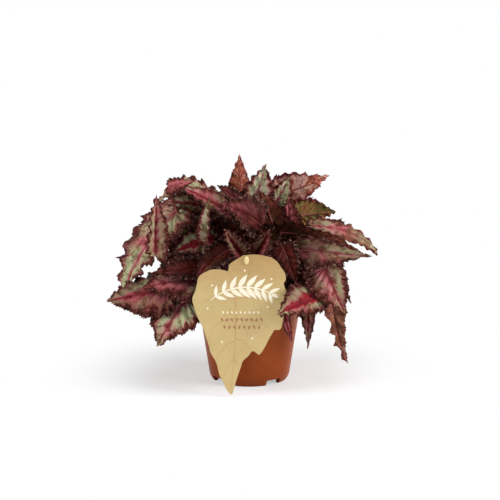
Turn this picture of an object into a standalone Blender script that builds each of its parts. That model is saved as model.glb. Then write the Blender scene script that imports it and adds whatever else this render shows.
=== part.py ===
"""Potted begonia: a mound of pointed, drooping leaves on fleshy stalks, rooted in soil in a plastic
nursery pot, with a leaf-shaped card label hung in front on a stake.

Metres, +Z up. The origin is the centre of the pot's foot, on the surface it stands on, and the label
faces -Y. Dimensions below are in millimetres, turned into metres by MM.
"""

import math
from collections import namedtuple

import bmesh
import bpy
import numpy as np
from mathutils import Vector

MM = 0.001
FIT_GAP = 0.3 * MM  # between pieces that rest on or in each other

# Pot. Angles about the upright axis are measured from the front (-Y) towards the right (+X).
POT_HEIGHT = 103 * MM
POT_FOOT_R = 41 * MM
POT_BASE_R = 44 * MM
POT_TOP_R = 57.5 * MM
POT_WALL = 1.4 * MM
RIM_R = 60.5 * MM
RIM_HEIGHT = 12 * MM
RIM_THICK = 1.8 * MM
FOOT_HEIGHT = 6.5 * MM
FOOT_THICK = 3.5 * MM
FLOOR_THICK = 1.6 * MM
POT_SIDES = 40
NOTCH_COUNT = 4
NOTCH_WIDTH = 18 * MM
NOTCH_TURN = math.radians(37)
DRAIN_HOLE = (10 * MM, 5 * MM)  # across, outwards
DRAIN_HOLE_AT = 36.5 * MM  # from the pot's axis

# Soil and crown
SOIL_BELOW_RIM = 12 * MM
CROWN_R = 31 * MM
CROWN_HEIGHT = 17 * MM
CROWN_SIDES = 24

# Label and its stake
LABEL_THICK = 0.8 * MM
LABEL_AT = (-3 * MM, -80 * MM, 149 * MM)  # the hole's centre, on the card's mid-plane
HOLE_SIZE = (4.6 * MM, 7.8 * MM)
PEG_SIZE = (3.8 * MM, 7.0 * MM)
PEG_HEAD = (5.0 * MM, 8.6 * MM)
PEG_HEAD_THICK = 1.2 * MM
STAKE_WIDTH = 8 * MM
STAKE_THICK = 1.6 * MM
STAKE_DEPTH = 26 * MM  # below the soil's surface
# The label's outline about its hole, in mm: right (+X) and up, anticlockwise from the lower tip.
LABEL_OUTLINE = (
    (-16, -146), (-13, -138), (-11, -130), (-8, -121), (-6, -115), (-4, -109), (2, -103), (6, -98),
    (10, -100), (13, -102), (16, -99), (20, -92), (23, -86), (28, -77), (30, -75), (34.5, -75),
    (37, -71), (38, -66), (39, -60), (40, -53), (43, -46), (44, -39), (43, -35), (40, -30),
    (39, -25), (41, -21), (41, -18), (39.5, -13), (36, -8), (32, -2), (26, 2.5), (21, 4), (14, 5.5),
    (7, 6), (0, 5.5), (-5, 4), (-10, 1), (-15, -2), (-18, -5), (-19.5, -11.5), (-23, -11),
    (-28, -10), (-34, -10), (-39, -11), (-43, -13), (-48, -16), (-51, -20), (-52, -25), (-53, -30),
    (-54, -34), (-56, -38), (-57, -42), (-56.5, -46), (-55, -52), (-53.5, -57), (-51, -63),
    (-48, -69), (-46, -73), (-44, -79), (-42, -86), (-40, -92), (-38.5, -99), (-36, -104),
    (-33, -109), (-31, -115), (-29, -124), (-26, -130), (-21, -141),
)

# Leaves
STALK_R = 2.1 * MM
STALK_TIP_R = 1.2 * MM
STALK_SIDES = 5
STALK_STEPS = 7
STALK_REACH = 0.12  # how far the stalk runs on under the midrib, in blade lengths
SEAT_RINGS = ((5, 5.5 * MM), (10, 12.5 * MM), (16, 19 * MM), (24, 25.5 * MM))  # stalks, ring radius
BLADE_THICK = 1.6 * MM
BLADE_COLUMNS = 9
BLADE_ROWS = 3
VEIN_SLANT = 0.75
SKEW = 0.12
SMALL_LOBE = 0.6

# Half of the blade's outline: along the midrib in blade lengths, across it in half widths. It starts
# at the notch where the stalk joins, rounds the basal lobe and runs out to the drawn-out tip.
OUTLINE = (
    (-0.03, 0.04), (-0.09, 0.16), (-0.14, 0.40), (-0.11, 0.72), (-0.01, 0.94), (0.13, 1.00),
    (0.29, 0.97), (0.46, 0.84), (0.62, 0.61), (0.76, 0.36), (0.88, 0.15), (1.00, 0.00),
)

# One leaf. joint is where the stalk meets the blade and tip is the blade's far end; bow is how far the
# midrib stands off the straight line between them at one and two thirds, towards face, the way the
# upper side looks; width is across the blade; fold and curl are the slopes of the two halves at the
# midrib and what they gain by the margin, in degrees; twist turns the tip about the midrib.
Leaf = namedtuple("Leaf", "joint tip bow face width fold curl twist", defaults=(0,))

LEAVES = (
    # Left, from the lowest outwards
    Leaf((-88, -62, 117), (-150, -78, 105), (-1, -6), (-0.10, -0.70, 0.70), 61, -16, -18),
    Leaf((-67, -57, 102), (-98, -78, 55), (8, 6), (-0.22, -0.93, 0.25), 55, 8, -14),
    Leaf((-80, -10, 187), (-138, -29, 86), (15, 20), (-0.70, -0.60, 0.45), 60, 8, -16),
    Leaf((-44, -40, 120), (-113, -70, 117), (9, 7), (-0.05, -0.85, 0.52), 62, 6, -10),
    Leaf((-100, -57, 152), (-98, -52, 214), (-4, 0), (0.30, -0.90, 0.15), 26, 30, 10),
    Leaf((-39, -21, 159), (-84, -39, 147), (6, 5), (0.00, -0.80, 0.60), 33, 10, -20),
    Leaf((-50, 14, 153), (-98, 12, 157), (4, 6), (0.10, 0.85, 0.50), 44, 12, -10),
    Leaf((-46, 2, 191), (-95, -8, 198), (4, 4), (-0.05, -0.75, 0.65), 31, 10, -10),
    Leaf((-29, 0, 196), (-99, -20, 200), (0, 50), (-0.10, -0.60, 0.80), 44, 4, -20),
    Leaf((-23, -22, 188), (-78, -36, 221), (5, 4), (-0.30, -0.60, 0.75), 26, 16, -20),
    Leaf((-46, -50, 165), (-42, -52, 212), (-2, 0), (-0.80, -0.60, 0.00), 24, 42, -10),
    # Crown of the mound
    Leaf((12, -30, 177), (-31, -62, 206), (7, 6), (-0.10, -0.80, 0.60), 44, 10, -14),
    Leaf((-9, 20, 179), (-11, 24, 247), (5, 2), (0.00, 1.00, 0.10), 27, 14, -14),
    Leaf((-11, -7, 197), (-35, -14, 218), (2, 2), (-0.20, -0.60, 0.80), 18, 10, 0),
    Leaf((2, 4, 184), (18, 2, 239), (2, 0), (0.00, -1.00, 0.30), 37, 14, 6),
    Leaf((30, 26, 197), (88, 16, 224), (7, -6), (-0.10, 0.97, 0.22), 36, 8, -12),
    Leaf((31, -12, 158), (11, -18, 213), (6, 2), (0.00, 0.90, 0.40), 40, 10, -14),
    Leaf((-10, -63, 152), (-27, -68, 180), (-3, -1), (0.10, -0.90, 0.40), 24, 40, 0),
    Leaf((8, -63, 151), (22, -68, 180), (-3, -1), (-0.10, -0.90, 0.40), 24, 40, 0),
    Leaf((-22, -52, 155), (-57, -70, 126), (7, 6), (-0.20, -0.70, 0.70), 30, 10, -14),
    # Right, from the top downwards
    Leaf((54, 28, 176), (97, 34, 180), (5, 2), (0.00, 1.00, 0.12), 31, 10, -12),
    Leaf((43, 6, 164), (42, 2, 202), (3, 1), (0.20, -0.90, 0.40), 24, 12, -10),
    Leaf((69, 2, 170), (142, 12, 136), (17, 20), (0.20, -0.60, 0.75), 26, 8, -20),
    Leaf((51, -16, 167), (122, -22, 145), (6, 4), (0.10, 0.60, 0.80), 20, 10, -10),
    Leaf((22, -32, 169), (81, -32, 161), (6, 5), (0.00, 0.60, 0.75), 34, 10, -12),
    Leaf((43, -37, 151), (128, -78, 153), (7, -3), (0.10, -0.80, 0.60), 37, 8, -16),
    Leaf((35, -57, 158), (49, -63, 122), (5, 4), (0.20, -0.90, 0.40), 30, 10, -12),
    Leaf((81, -25, 128), (105, -72, 35), (3, -14), (0.50, -0.80, 0.20), 31, 30, -20),
    Leaf((71, -62, 106), (28, -108, 97), (4, 2), (0.15, -0.80, 0.60), 38, 8, -14),
    Leaf((63, -28, 103), (63, -45, 43), (4, 2), (0.20, -0.90, 0.10), 18, 20, 0),
    Leaf((34, -70, 104), (45, -82, 61), (3, 2), (-0.30, -0.90, 0.20), 12, 14, -6),
    # Inside the mound, seen between the others
    Leaf((0, -42, 148), (-23, -42, 186), (3, 2), (-0.10, -0.95, 0.30), 30, 12, -10),
    Leaf((48, 5, 137), (80, 0, 117), (6, 4), (0.20, -0.80, 0.55), 30, 8, -14),
    # Low in front, behind the label
    Leaf((-26, -60, 124), (-31, -72, 80), (4, 3), (-0.10, -0.95, 0.20), 30, 10, -10),
    Leaf((20, -58, 124), (10, -73, 82), (4, 3), (0.10, -0.95, 0.20), 28, 10, -10),
    # Back, low and spreading
    Leaf((72, 32, 152), (149, 92, 118), (12, 14), (0.30, 0.20, 0.90), 44, 8, -18),
    Leaf((52, 66, 143), (92, 109, 86), (12, 14), (0.45, 0.50, 0.75), 42, 8, -18),
    Leaf((13, 72, 150), (36, 110, 84), (12, 12), (0.20, 0.80, 0.60), 38, 8, -18),
    Leaf((-21, 72, 150), (-40, 108, 90), (12, 12), (-0.20, 0.80, 0.60), 37, 8, -18),
    Leaf((-55, 57, 148), (-102, 97, 87), (12, 14), (-0.50, 0.50, 0.70), 44, 8, -18),
    Leaf((-76, 47, 161), (-138, 76, 138), (10, 12), (-0.30, 0.20, 0.90), 40, 8, -18),
    Leaf((-62, 48, 108), (-118, 72, 66), (8, 8), (-0.50, 0.40, 0.70), 44, 8, -18),
    Leaf((67, 48, 116), (118, 76, 65), (8, 8), (0.50, 0.40, 0.70), 42, 8, -18),
    # Back, between
    Leaf((62, 55, 162), (116, 94, 146), (11, 12), (0.35, 0.30, 0.85), 36, 8, -18),
    Leaf((27, 61, 165), (65, 107, 138), (12, 12), (0.30, 0.50, 0.80), 37, 8, -18),
    Leaf((-3, 63, 166), (-2, 109, 138), (12, 12), (0.00, 0.60, 0.80), 34, 8, -18),
    Leaf((-32, 56, 166), (-70, 104, 138), (12, 12), (-0.30, 0.50, 0.80), 42, 8, -18),
    Leaf((73, 18, 135), (108, 38, 84), (9, 8), (0.60, 0.10, 0.70), 38, 8, -18),
    # Back, high
    Leaf((32, 44, 180), (84, 76, 177), (12, 10), (0.10, 0.30, 0.95), 40, 8, -18),
    Leaf((17, 46, 184), (42, 100, 180), (12, 12), (0.10, 0.40, 0.90), 38, 8, -18),
    Leaf((-18, 44, 184), (-46, 98, 180), (12, 12), (-0.10, 0.40, 0.90), 40, 8, -18),
    Leaf((-38, 28, 180), (-96, 58, 182), (12, 10), (-0.20, 0.30, 0.95), 42, 8, -18),
    # Dark leaves deep in the mound
    Leaf((-48, -47, 132), (-105, -69, 132), (6, 5), (-0.10, -0.85, 0.50), 26, 10, -14),
    Leaf((-23, -2, 143), (-39, 4, 190), (4, 3), (-0.15, -0.95, 0.25), 26, 10, -10),
    # Right, in front of the long hanging leaf
    Leaf((79, -49, 134), (101, -79, 91), (3, -5), (0.20, -0.90, 0.35), 41, 12, -12),
)


def clear_scene():
    for item in list(bpy.data.objects):
        bpy.data.objects.remove(item, do_unlink=True)


def unit(vector):
    return vector / np.linalg.norm(vector, axis=-1, keepdims=True)


def bezier(points, t):
    """Points at t on the cubic through its four control points, and the unit tangents there."""
    p0, p1, p2, p3 = (np.asarray(p, float) for p in points)
    t = np.asarray(t, float)[..., None]
    at = (1 - t) ** 3 * p0 + 3 * (1 - t) ** 2 * t * p1 + 3 * (1 - t) * t ** 2 * p2 + t ** 3 * p3
    slope = (1 - t) ** 2 * (p1 - p0) + 2 * (1 - t) * t * (p2 - p1) + t ** 2 * (p3 - p2)
    return at, unit(slope)


class Midrib:
    """The blade's centre line with a frame on it, read by arc length."""

    SAMPLES = 61

    def __init__(self, leaf):
        joint, tip = (np.array(p, float) * MM for p in (leaf.joint, leaf.tip))
        chord = tip - joint
        face = np.array(leaf.face, float)
        face = unit(face - chord * (face @ chord) / (chord @ chord))
        lift = [face * b * MM for b in leaf.bow]
        controls = (joint, joint + chord / 3 + lift[0], joint + chord * 2 / 3 + lift[1], tip)
        self.at, self.along = bezier(controls, np.linspace(0, 1, self.SAMPLES))
        steps = np.linalg.norm(np.diff(self.at, axis=0), axis=1)
        self.run = np.concatenate([[0], np.cumsum(steps)])
        self.length = self.run[-1]
        self.up = np.zeros_like(self.at)
        middle = self.SAMPLES // 2
        self.up[middle] = self.square(face, middle)
        for i in range(middle + 1, self.SAMPLES):
            self.up[i] = self.square(self.up[i - 1], i)
        for i in range(middle - 1, -1, -1):
            self.up[i] = self.square(self.up[i + 1], i)
        turn = math.radians(leaf.twist) * (self.run / self.length)[:, None]
        side = np.cross(self.along, self.up)
        self.up = self.up * np.cos(turn) + side * np.sin(turn)

    def square(self, up, i):
        return unit(up - self.along[i] * (up @ self.along[i]))

    def read(self, s):
        """Position, tangent, up and side at arc length s, run straight on where s is below zero."""
        def sampled(rows):
            return np.stack([np.interp(s, self.run, rows[:, k]) for k in range(3)], -1)

        along, up = unit(sampled(self.along)), unit(sampled(self.up))
        at = sampled(self.at) + along * np.minimum(s, 0)[..., None]
        return at, along, up, np.cross(along, up)


def outline_run(length, half_width, count):
    """count points, evenly spaced, along half of the blade's outline, in metres."""
    knots = np.array(OUTLINE) * (length, half_width)
    padded = np.vstack([2 * knots[0] - knots[1], knots, 2 * knots[-1] - knots[-2]])
    t = np.linspace(0, 1, 12, endpoint=False)[:, None]
    pieces = []
    for a, b, c, d in zip(padded, padded[1:], padded[2:], padded[3:]):
        pieces.append(
            0.5 * (2 * b + (c - a) * t + (2 * a - 5 * b + 4 * c - d) * t ** 2
                   + (3 * b - a - 3 * c + d) * t ** 3)
        )
    fine = np.vstack([*pieces, knots[-1:]])
    run = np.concatenate([[0], np.cumsum(np.linalg.norm(np.diff(fine, axis=0), axis=1))])
    even = np.linspace(0, run[-1], count)
    return np.stack([np.interp(even, run, fine[:, k]) for k in range(2)], -1)


def half_blade(leaf, midrib, side, columns, rows):
    """The mid-surface of one half: points, normals and how far out each is, as grids."""
    half_width = leaf.width * MM / 2
    edge = outline_run(midrib.length, half_width, columns)
    foot = np.maximum.accumulate(np.maximum(edge[:, 0] - VEIN_SLANT * edge[:, 1], 0))
    if side < 0:
        edge[:, 0] = np.where(edge[:, 0] < 0, edge[:, 0] * SMALL_LOBE, edge[:, 0])
    edge[:, 1] *= 1 + side * SKEW
    out = np.linspace(0, 1, rows)[None, :]
    s = foot[:, None] * (1 - out) + edge[:, :1] * out
    across = edge[:, 1:] * out
    fold, bend = math.radians(leaf.fold), math.radians(leaf.curl or 0.01) / half_width
    slope = fold + bend * across
    level = (np.sin(slope) - math.sin(fold)) / bend
    rise = (math.cos(fold) - np.cos(slope)) / bend
    at, _, up, beside = midrib.read(s)
    points = at + side * beside * level[..., None] + up * rise[..., None]
    lean = np.where(out > 0, slope, 0)
    normals = up * np.cos(lean)[..., None] - side * beside * np.sin(lean)[..., None]
    return points, normals, np.broadcast_to(out, s.shape), np.hypot(np.maximum(s, 0), across)


def blade_mesh(leaf, midrib):
    """The blade as a closed lens-like shell, thick at the midrib and sharp at the margin."""
    mesh = bmesh.new()
    for side in (1, -1):
        points, normals, out, reach = half_blade(leaf, midrib, side, BLADE_COLUMNS, BLADE_ROWS)
        near_tip = np.clip((midrib.length - reach) / (0.2 * midrib.length), 0, 1)
        thick = BLADE_THICK * (1 - out ** 2) * np.clip(reach / (6 * MM), 0, 1) * near_tip
        thick[0, :] = 0
        for face in (1, -1):
            grid = points + normals * (face * thick / 2)[..., None]
            verts = [[mesh.verts.new(p) for p in column] for column in grid]
            for i in range(BLADE_COLUMNS - 1):
                for j in range(BLADE_ROWS - 1):
                    a, b = verts[i][j], verts[i + 1][j]
                    c, d = verts[i + 1][j + 1], verts[i][j + 1]
                    for corners in ((a, b, c), (a, c, d)) if i else ((a, b, d), (b, c, d)):
                        mesh.faces.new(corners if side * face < 0 else corners[::-1])
    bmesh.ops.remove_doubles(mesh, verts=mesh.verts, dist=0.001 * MM)
    return mesh


def around(radius, angle, height):
    """The point at an angle from the front about the upright axis."""
    return Vector((radius * math.sin(angle), -radius * math.cos(angle), height))


def crown_surface(x, y):
    """A point of the crown's dome above (x, y), and the dome's outward normal there."""
    base = POT_HEIGHT - SOIL_BELOW_RIM + FIT_GAP
    height = base + CROWN_HEIGHT * (1 - (x * x + y * y) / CROWN_R ** 2)
    slope = 2 * CROWN_HEIGHT / CROWN_R ** 2
    return np.array([x, y, height]), unit(np.array([slope * x, slope * y, 1.0]))


def seats(leaves):
    """Where each leaf's stalk stands on the crown: steep leaves inside, spreading leaves outside."""
    joints = np.array([leaf.joint for leaf in leaves], float) * MM
    climb = np.arctan2(joints[:, 2] - POT_HEIGHT, np.hypot(joints[:, 0], joints[:, 1]))
    turn = np.arctan2(joints[:, 0], -joints[:, 1])
    waiting = list(np.argsort(-climb, kind="stable"))
    found = [None] * len(leaves)
    for count, radius in SEAT_RINGS:
        ring, waiting = sorted(waiting[:count], key=lambda i: turn[i]), waiting[count:]
        steps = np.arange(len(ring)) * math.tau / max(len(ring), 1)
        offsets = turn[ring] - steps
        start = math.atan2(np.sin(offsets).sum(), np.cos(offsets).sum())
        for i, step in zip(ring, steps):
            found[i] = around(radius, start + step, 0).xy
    return found


def stalk_mesh(leaf, midrib, seat):
    """The stalk: a tapering tube from its seat on the crown to just under the blade's midrib."""
    base, away = crown_surface(*seat)
    start = base + away * FIT_GAP
    joint, along, up = midrib.at[0], midrib.along[0], midrib.up[0]
    span = np.linalg.norm(joint - start)
    arrive = unit(0.55 * unit(joint - start) + 0.55 * along + 0.4 * up)
    controls = (start, start + away * span * 0.38, joint - arrive * span * 0.33, joint)
    at, forward = bezier(controls, np.linspace(0, 1, STALK_STEPS))
    radius = np.interp(np.linspace(0, 1, STALK_STEPS), [0, 1], [STALK_R, STALK_TIP_R])
    reach = np.array([0.5, 1.0]) * STALK_REACH * midrib.length
    past, past_along, past_up, _ = midrib.read(reach)
    under = np.array([0.45, 0.1]) * BLADE_THICK
    at = np.vstack([at, past - past_up * under[:, None]])
    forward = np.vstack([forward[:-1], unit(arrive + along), past_along])
    radius = np.append(radius, [STALK_TIP_R * 0.8, STALK_TIP_R * 0.35])
    mesh = bmesh.new()
    side = unit(np.cross(forward[0], [0.31, 0.92, 0.24]))
    rings = []
    for centre, ahead, r in zip(at, forward, radius):
        side = unit(side - ahead * (side @ ahead))
        other = np.cross(ahead, side)
        angles = np.arange(STALK_SIDES) * math.tau / STALK_SIDES
        rings.append([
            mesh.verts.new(centre + r * (math.cos(a) * side + math.sin(a) * other)) for a in angles
        ])
    for low, high in zip(rings, rings[1:]):
        for i in range(STALK_SIDES):
            k = (i + 1) % STALK_SIDES
            mesh.faces.new((low[i], low[k], high[k], high[i]))
    mesh.faces.new(rings[0][::-1])
    mesh.faces.new(rings[-1])
    bmesh.ops.triangulate(mesh, faces=mesh.faces)
    return mesh


def new_object(name, mesh, material):
    data = bpy.data.meshes.new(name)
    mesh.to_mesh(data)
    mesh.free()
    made = bpy.data.objects.new(name, data)
    bpy.context.scene.collection.objects.link(made)
    data.materials.append(material)
    return made


def combine(target, tools, operation):
    """Cut the tools out of target, or join them to it, and drop the tools."""
    for tool in tools:
        step = target.modifiers.new("combine", "BOOLEAN")
        step.operation, step.solver, step.object = operation, "EXACT", tool
    bpy.context.view_layer.update()
    shaped = target.evaluated_get(bpy.context.evaluated_depsgraph_get())
    data = bpy.data.meshes.new_from_object(shaped)
    target.modifiers.clear()
    target.data = data
    for tool in tools:
        bpy.data.objects.remove(tool, do_unlink=True)


def revolved(profile, sides):
    """A closed solid of revolution from (radius, height) points, which may start or end on the axis."""
    mesh = bmesh.new()
    columns = []
    for radius, height in profile:
        if radius == 0:
            columns.append([mesh.verts.new((0, 0, height))] * sides)
        else:
            angles = [math.tau * i / sides for i in range(sides)]
            columns.append([mesh.verts.new(around(radius, a, height)) for a in angles])
    for low, high in zip(columns, columns[1:] + columns[:1]):
        for i in range(sides):
            k = (i + 1) % sides
            corners = list(dict.fromkeys((low[i], low[k], high[k], high[i])))
            if len(corners) > 2:
                mesh.faces.new(corners)
    bmesh.ops.recalc_face_normals(mesh, faces=mesh.faces)
    return mesh


def block(size, centre, turn=0.0):
    """A box of the given size; turned about the upright axis, then set on its centre."""
    mesh = bmesh.new()
    bmesh.ops.create_cube(mesh, size=1)
    for v in mesh.verts:
        x, y, z = (c * s for c, s in zip(v.co, size))
        v.co = Vector((
            x * math.cos(turn) - y * math.sin(turn), x * math.sin(turn) + y * math.cos(turn), z,
        )) + Vector(centre)
    return mesh


def make_pot(material):
    floor_top = FOOT_HEIGHT + FLOOR_THICK
    shoulder = POT_HEIGHT - RIM_HEIGHT
    inner_base, inner_top = POT_BASE_R - POT_WALL, POT_TOP_R - POT_WALL
    profile = (
        (0, FOOT_HEIGHT), (POT_FOOT_R - FOOT_THICK, FOOT_HEIGHT), (POT_FOOT_R - FOOT_THICK, 0),
        (POT_FOOT_R, 0), (POT_FOOT_R + 1.4 * MM, 1.2 * MM), (POT_BASE_R, 4.2 * MM),
        (POT_BASE_R + 1 * MM, FOOT_HEIGHT + 3 * MM), (POT_TOP_R, shoulder),
        (RIM_R - 0.4 * MM, shoulder + 0.6 * MM), (RIM_R, shoulder + 1.6 * MM),
        (RIM_R, POT_HEIGHT - 1 * MM), (RIM_R - 0.6 * MM, POT_HEIGHT),
        (RIM_R - RIM_THICK, POT_HEIGHT - 0.4 * MM), (RIM_R - RIM_THICK, shoulder + 1 * MM),
        (inner_top, shoulder - 1.4 * MM), (inner_base + 0.4 * MM, floor_top + 3 * MM),
        (inner_base - 2.4 * MM, floor_top), (0, floor_top),
    )
    pot = new_object("pot", revolved(profile, POT_SIDES), material)
    tools = []
    for i in range(NOTCH_COUNT):
        turn = NOTCH_TURN + math.tau * i / NOTCH_COUNT
        size = (NOTCH_WIDTH, 16 * MM, 2 * FOOT_HEIGHT - 0.2 * MM)
        tools.append(new_object("notch", block(size, around(42 * MM, turn, 0), turn), material))
        size = (*DRAIN_HOLE, 10 * MM)
        at = around(DRAIN_HOLE_AT, turn, floor_top)
        tools.append(new_object("drain", block(size, at, turn), material))
    combine(pot, tools, "DIFFERENCE")
    return pot


def make_soil(material):
    floor_top = FOOT_HEIGHT + FLOOR_THICK
    top = POT_HEIGHT - SOIL_BELOW_RIM
    shoulder = POT_HEIGHT - RIM_HEIGHT
    inner_base, inner_top = POT_BASE_R - POT_WALL - FIT_GAP, POT_TOP_R - POT_WALL - FIT_GAP
    profile = (
        (0, floor_top + FIT_GAP), (inner_base - 2.6 * MM, floor_top + FIT_GAP),
        (inner_base + 0.2 * MM, floor_top + 3.2 * MM), (inner_top - 0.2 * MM, shoulder - 1.4 * MM),
        (inner_top - 0.2 * MM, top), (0, top),
    )
    soil = new_object("soil", revolved(profile, POT_SIDES), material)
    x, y, _ = stake_path()[0]
    slot = block(
        (STAKE_WIDTH + 2 * FIT_GAP, STAKE_THICK + 2 * FIT_GAP, 2 * (STAKE_DEPTH + FIT_GAP)), (x, y, top)
    )
    combine(soil, [new_object("slot", slot, material)], "DIFFERENCE")
    return soil


def make_crown(material):
    base = POT_HEIGHT - SOIL_BELOW_RIM + FIT_GAP
    profile = [(0, base)]
    for i in range(7):
        radius = CROWN_R * (1 - i / 7)
        profile.append((radius, crown_surface(radius, 0)[0][2]))
    profile.append((0, base + CROWN_HEIGHT))
    return new_object("rootstock", revolved(profile, CROWN_SIDES), material)


def stake_path():
    """Centre line of the stake, from its buried end to the back of the peg."""
    x, y, z = LABEL_AT
    top = POT_HEIGHT - SOIL_BELOW_RIM
    return [
        (x, -47 * MM, top - STAKE_DEPTH), (x, -47 * MM, top + 14 * MM), (x, -58 * MM, top + 30 * MM),
        (x, y + 8 * MM, z - 8 * MM), (x, y + 4 * MM, z + 4 * MM),
    ]


def oval(size, sides=16):
    return [
        (size[0] / 2 * math.cos(math.tau * i / sides), size[1] / 2 * math.sin(math.tau * i / sides))
        for i in range(sides)
    ]


def slab(outline, front, back, centre):
    """An upright plate facing -Y: the outline, about centre, between two distances behind it."""
    mesh = bmesh.new()
    x, y, z = centre
    near = [mesh.verts.new((x + u, y + front, z + v)) for u, v in outline]
    far = [mesh.verts.new((x + u, y + back, z + v)) for u, v in outline]
    mesh.faces.new(near)
    mesh.faces.new(far[::-1])
    for i, _ in enumerate(outline):
        k = (i + 1) % len(outline)
        mesh.faces.new((near[i], far[i], far[k], near[k]))
    bmesh.ops.recalc_face_normals(mesh, faces=mesh.faces)
    return mesh


def make_label(material):
    outline = [(u * MM, v * MM) for u, v in LABEL_OUTLINE]
    half = LABEL_THICK / 2
    card = new_object("label", slab(outline, -half, half, LABEL_AT), material)
    hole = new_object("hole", slab(oval(HOLE_SIZE), -5 * half, 5 * half, LABEL_AT), material)
    combine(card, [hole], "DIFFERENCE")
    return card


def make_stake(material):
    path = [np.array(p) for p in stake_path()]
    mesh = bmesh.new()
    half = STAKE_WIDTH / 2
    rings = []
    for i, point in enumerate(path):
        before, after = path[max(i - 1, 0)], path[min(i + 1, len(path) - 1)]
        ahead = unit(after - before)
        out = np.cross(ahead, [1, 0, 0])
        corners = ((-half, -1), (half, -1), (half, 1), (-half, 1))
        rings.append([
            mesh.verts.new(point + np.array([w, 0, 0]) + out * t * STAKE_THICK / 2)
            for w, t in corners
        ])
    for low, high in zip(rings, rings[1:]):
        for i in range(4):
            k = (i + 1) % 4
            mesh.faces.new((low[i], low[k], high[k], high[i]))
    mesh.faces.new(rings[0][::-1])
    mesh.faces.new(rings[-1])
    bmesh.ops.recalc_face_normals(mesh, faces=mesh.faces)
    stake = new_object("label_stake", mesh, material)
    half = LABEL_THICK / 2
    front = -half - FIT_GAP
    peg = new_object("peg", slab(oval(PEG_SIZE), front - 0.2 * MM, 6 * MM, LABEL_AT), material)
    head = new_object(
        "head", slab(oval(PEG_HEAD), front - PEG_HEAD_THICK, front, LABEL_AT), material
    )
    combine(stake, [peg, head], "UNION")
    return stake


def plain(name, colour, roughness):
    material = bpy.data.materials.new(name)
    material.use_nodes = True
    shader = material.node_tree.nodes["Principled BSDF"]
    shader.inputs["Base Color"].default_value = (*colour, 1)
    shader.inputs["Roughness"].default_value = roughness
    return material


def main():
    clear_scene()
    make_pot(plain("pot_plastic", (0.33, 0.10, 0.04), 0.4))
    make_soil(plain("soil", (0.03, 0.02, 0.013), 0.95))
    make_crown(plain("rootstock", (0.12, 0.04, 0.03), 0.7))
    make_label(plain("label_card", (0.60, 0.45, 0.20), 0.8))
    make_stake(plain("stake_plastic", (0.70, 0.57, 0.30), 0.5))
    leaf_red = plain("leaf", (0.22, 0.05, 0.07), 0.5)
    for number, (leaf, seat) in enumerate(zip(LEAVES, seats(LEAVES)), 1):
        midrib = Midrib(leaf)
        blade = new_object(f"leaf_{number:02d}", blade_mesh(leaf, midrib), leaf_red)
        stalk = new_object("stalk", stalk_mesh(leaf, midrib, seat), leaf_red)
        combine(blade, [stalk], "UNION")


main()
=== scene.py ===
"""The looks of the potted begonia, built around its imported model. Pieces are worked out in mm and
placed in metres; +Z is up and the label faces -Y."""

import math
from collections import namedtuple
from types import SimpleNamespace

import bmesh
import bpy
import numpy as np
from mathutils import Euler, Matrix, Vector, noise


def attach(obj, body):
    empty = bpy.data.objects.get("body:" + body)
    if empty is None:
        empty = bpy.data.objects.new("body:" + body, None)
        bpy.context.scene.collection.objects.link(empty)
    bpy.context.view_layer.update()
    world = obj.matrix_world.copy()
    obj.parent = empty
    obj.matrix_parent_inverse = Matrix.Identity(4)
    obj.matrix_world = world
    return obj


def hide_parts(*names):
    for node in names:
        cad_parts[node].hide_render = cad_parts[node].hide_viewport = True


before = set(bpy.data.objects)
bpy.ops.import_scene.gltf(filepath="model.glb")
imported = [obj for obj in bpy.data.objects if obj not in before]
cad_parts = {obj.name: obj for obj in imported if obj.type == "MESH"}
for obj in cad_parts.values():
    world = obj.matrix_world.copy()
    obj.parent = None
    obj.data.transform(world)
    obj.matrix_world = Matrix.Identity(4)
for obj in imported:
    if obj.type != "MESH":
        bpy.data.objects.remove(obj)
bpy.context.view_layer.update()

MM = 0.001            # in metres
FIT_GAP = 0.3

# Camera and backdrop, in metres
CAMERA_AT = (0, -1.5679, 0.4626)
CAMERA_AIM = (0, 0, 0.1436)
CAMERA_LENS = 105
FLOOR_SIZE = 6.0
FLOOR_FADE = (0.08, 0.24)       # distances between which the floor turns white
WHITE = (1, 1, 1, 1)

# Light, in metres: the even light all round, then softboxes as name, place, side and watts
WORLD_LIGHT = 0.15
LIGHT_AIM = (0, 0, 0.12)
SOFTBOXES = (
    ("softbox_right", (1.6, -0.55, 1.0), 0.9, 35),
    ("softbox_left", (-1.5, -0.75, 1.0), 0.9, 17),
    ("softbox_low_right", (1.2, -0.35, 0.12), 0.5, 6),
    ("softbox_low_left", (-1.2, -0.35, 0.12), 0.5, 5),
    ("softbox_top", (0, -0.5, 2.0), 1.2, 14),
)

# Pot, as in the model but rounder. Angles are measured from the front (-Y) towards the right (+X).
POT_HEIGHT = 103
POT_FOOT_R = 41
POT_BASE_R = 44
POT_TOP_R = 57.5
POT_WALL = 1.4
RIM_R = 60.5
RIM_HEIGHT = 12
RIM_THICK = 1.8
FOOT_HEIGHT = 6.5
FOOT_THICK = 3.5
FLOOR_THICK = 1.6
FLOOR_TOP = FOOT_HEIGHT + FLOOR_THICK
SHOULDER = POT_HEIGHT - RIM_HEIGHT
POT_SIDES = 160
NOTCH_COUNT = 4
NOTCH_SIZE = (18, 16, 2 * FOOT_HEIGHT - 0.2)
NOTCH_AT = 42
NOTCH_TURN = math.radians(37)
DRAIN_HOLE = (10, 5, 10)
DRAIN_HOLE_AT = 36.5

# Soil and crown
SOIL_TOP = POT_HEIGHT - 12
SOIL_RINGS = 44
SOIL_SIDES = 140
CLOD_SIZE = 5
CLOD_HEIGHT = 1.3
CRUMBS = 420
CROWN_R = 31
CROWN_HEIGHT = 17
CROWN_RINGS = 30
CROWN_SIDES = 96
CROWN_FOOT = SOIL_TOP + FIT_GAP
SCARS = 60

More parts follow.
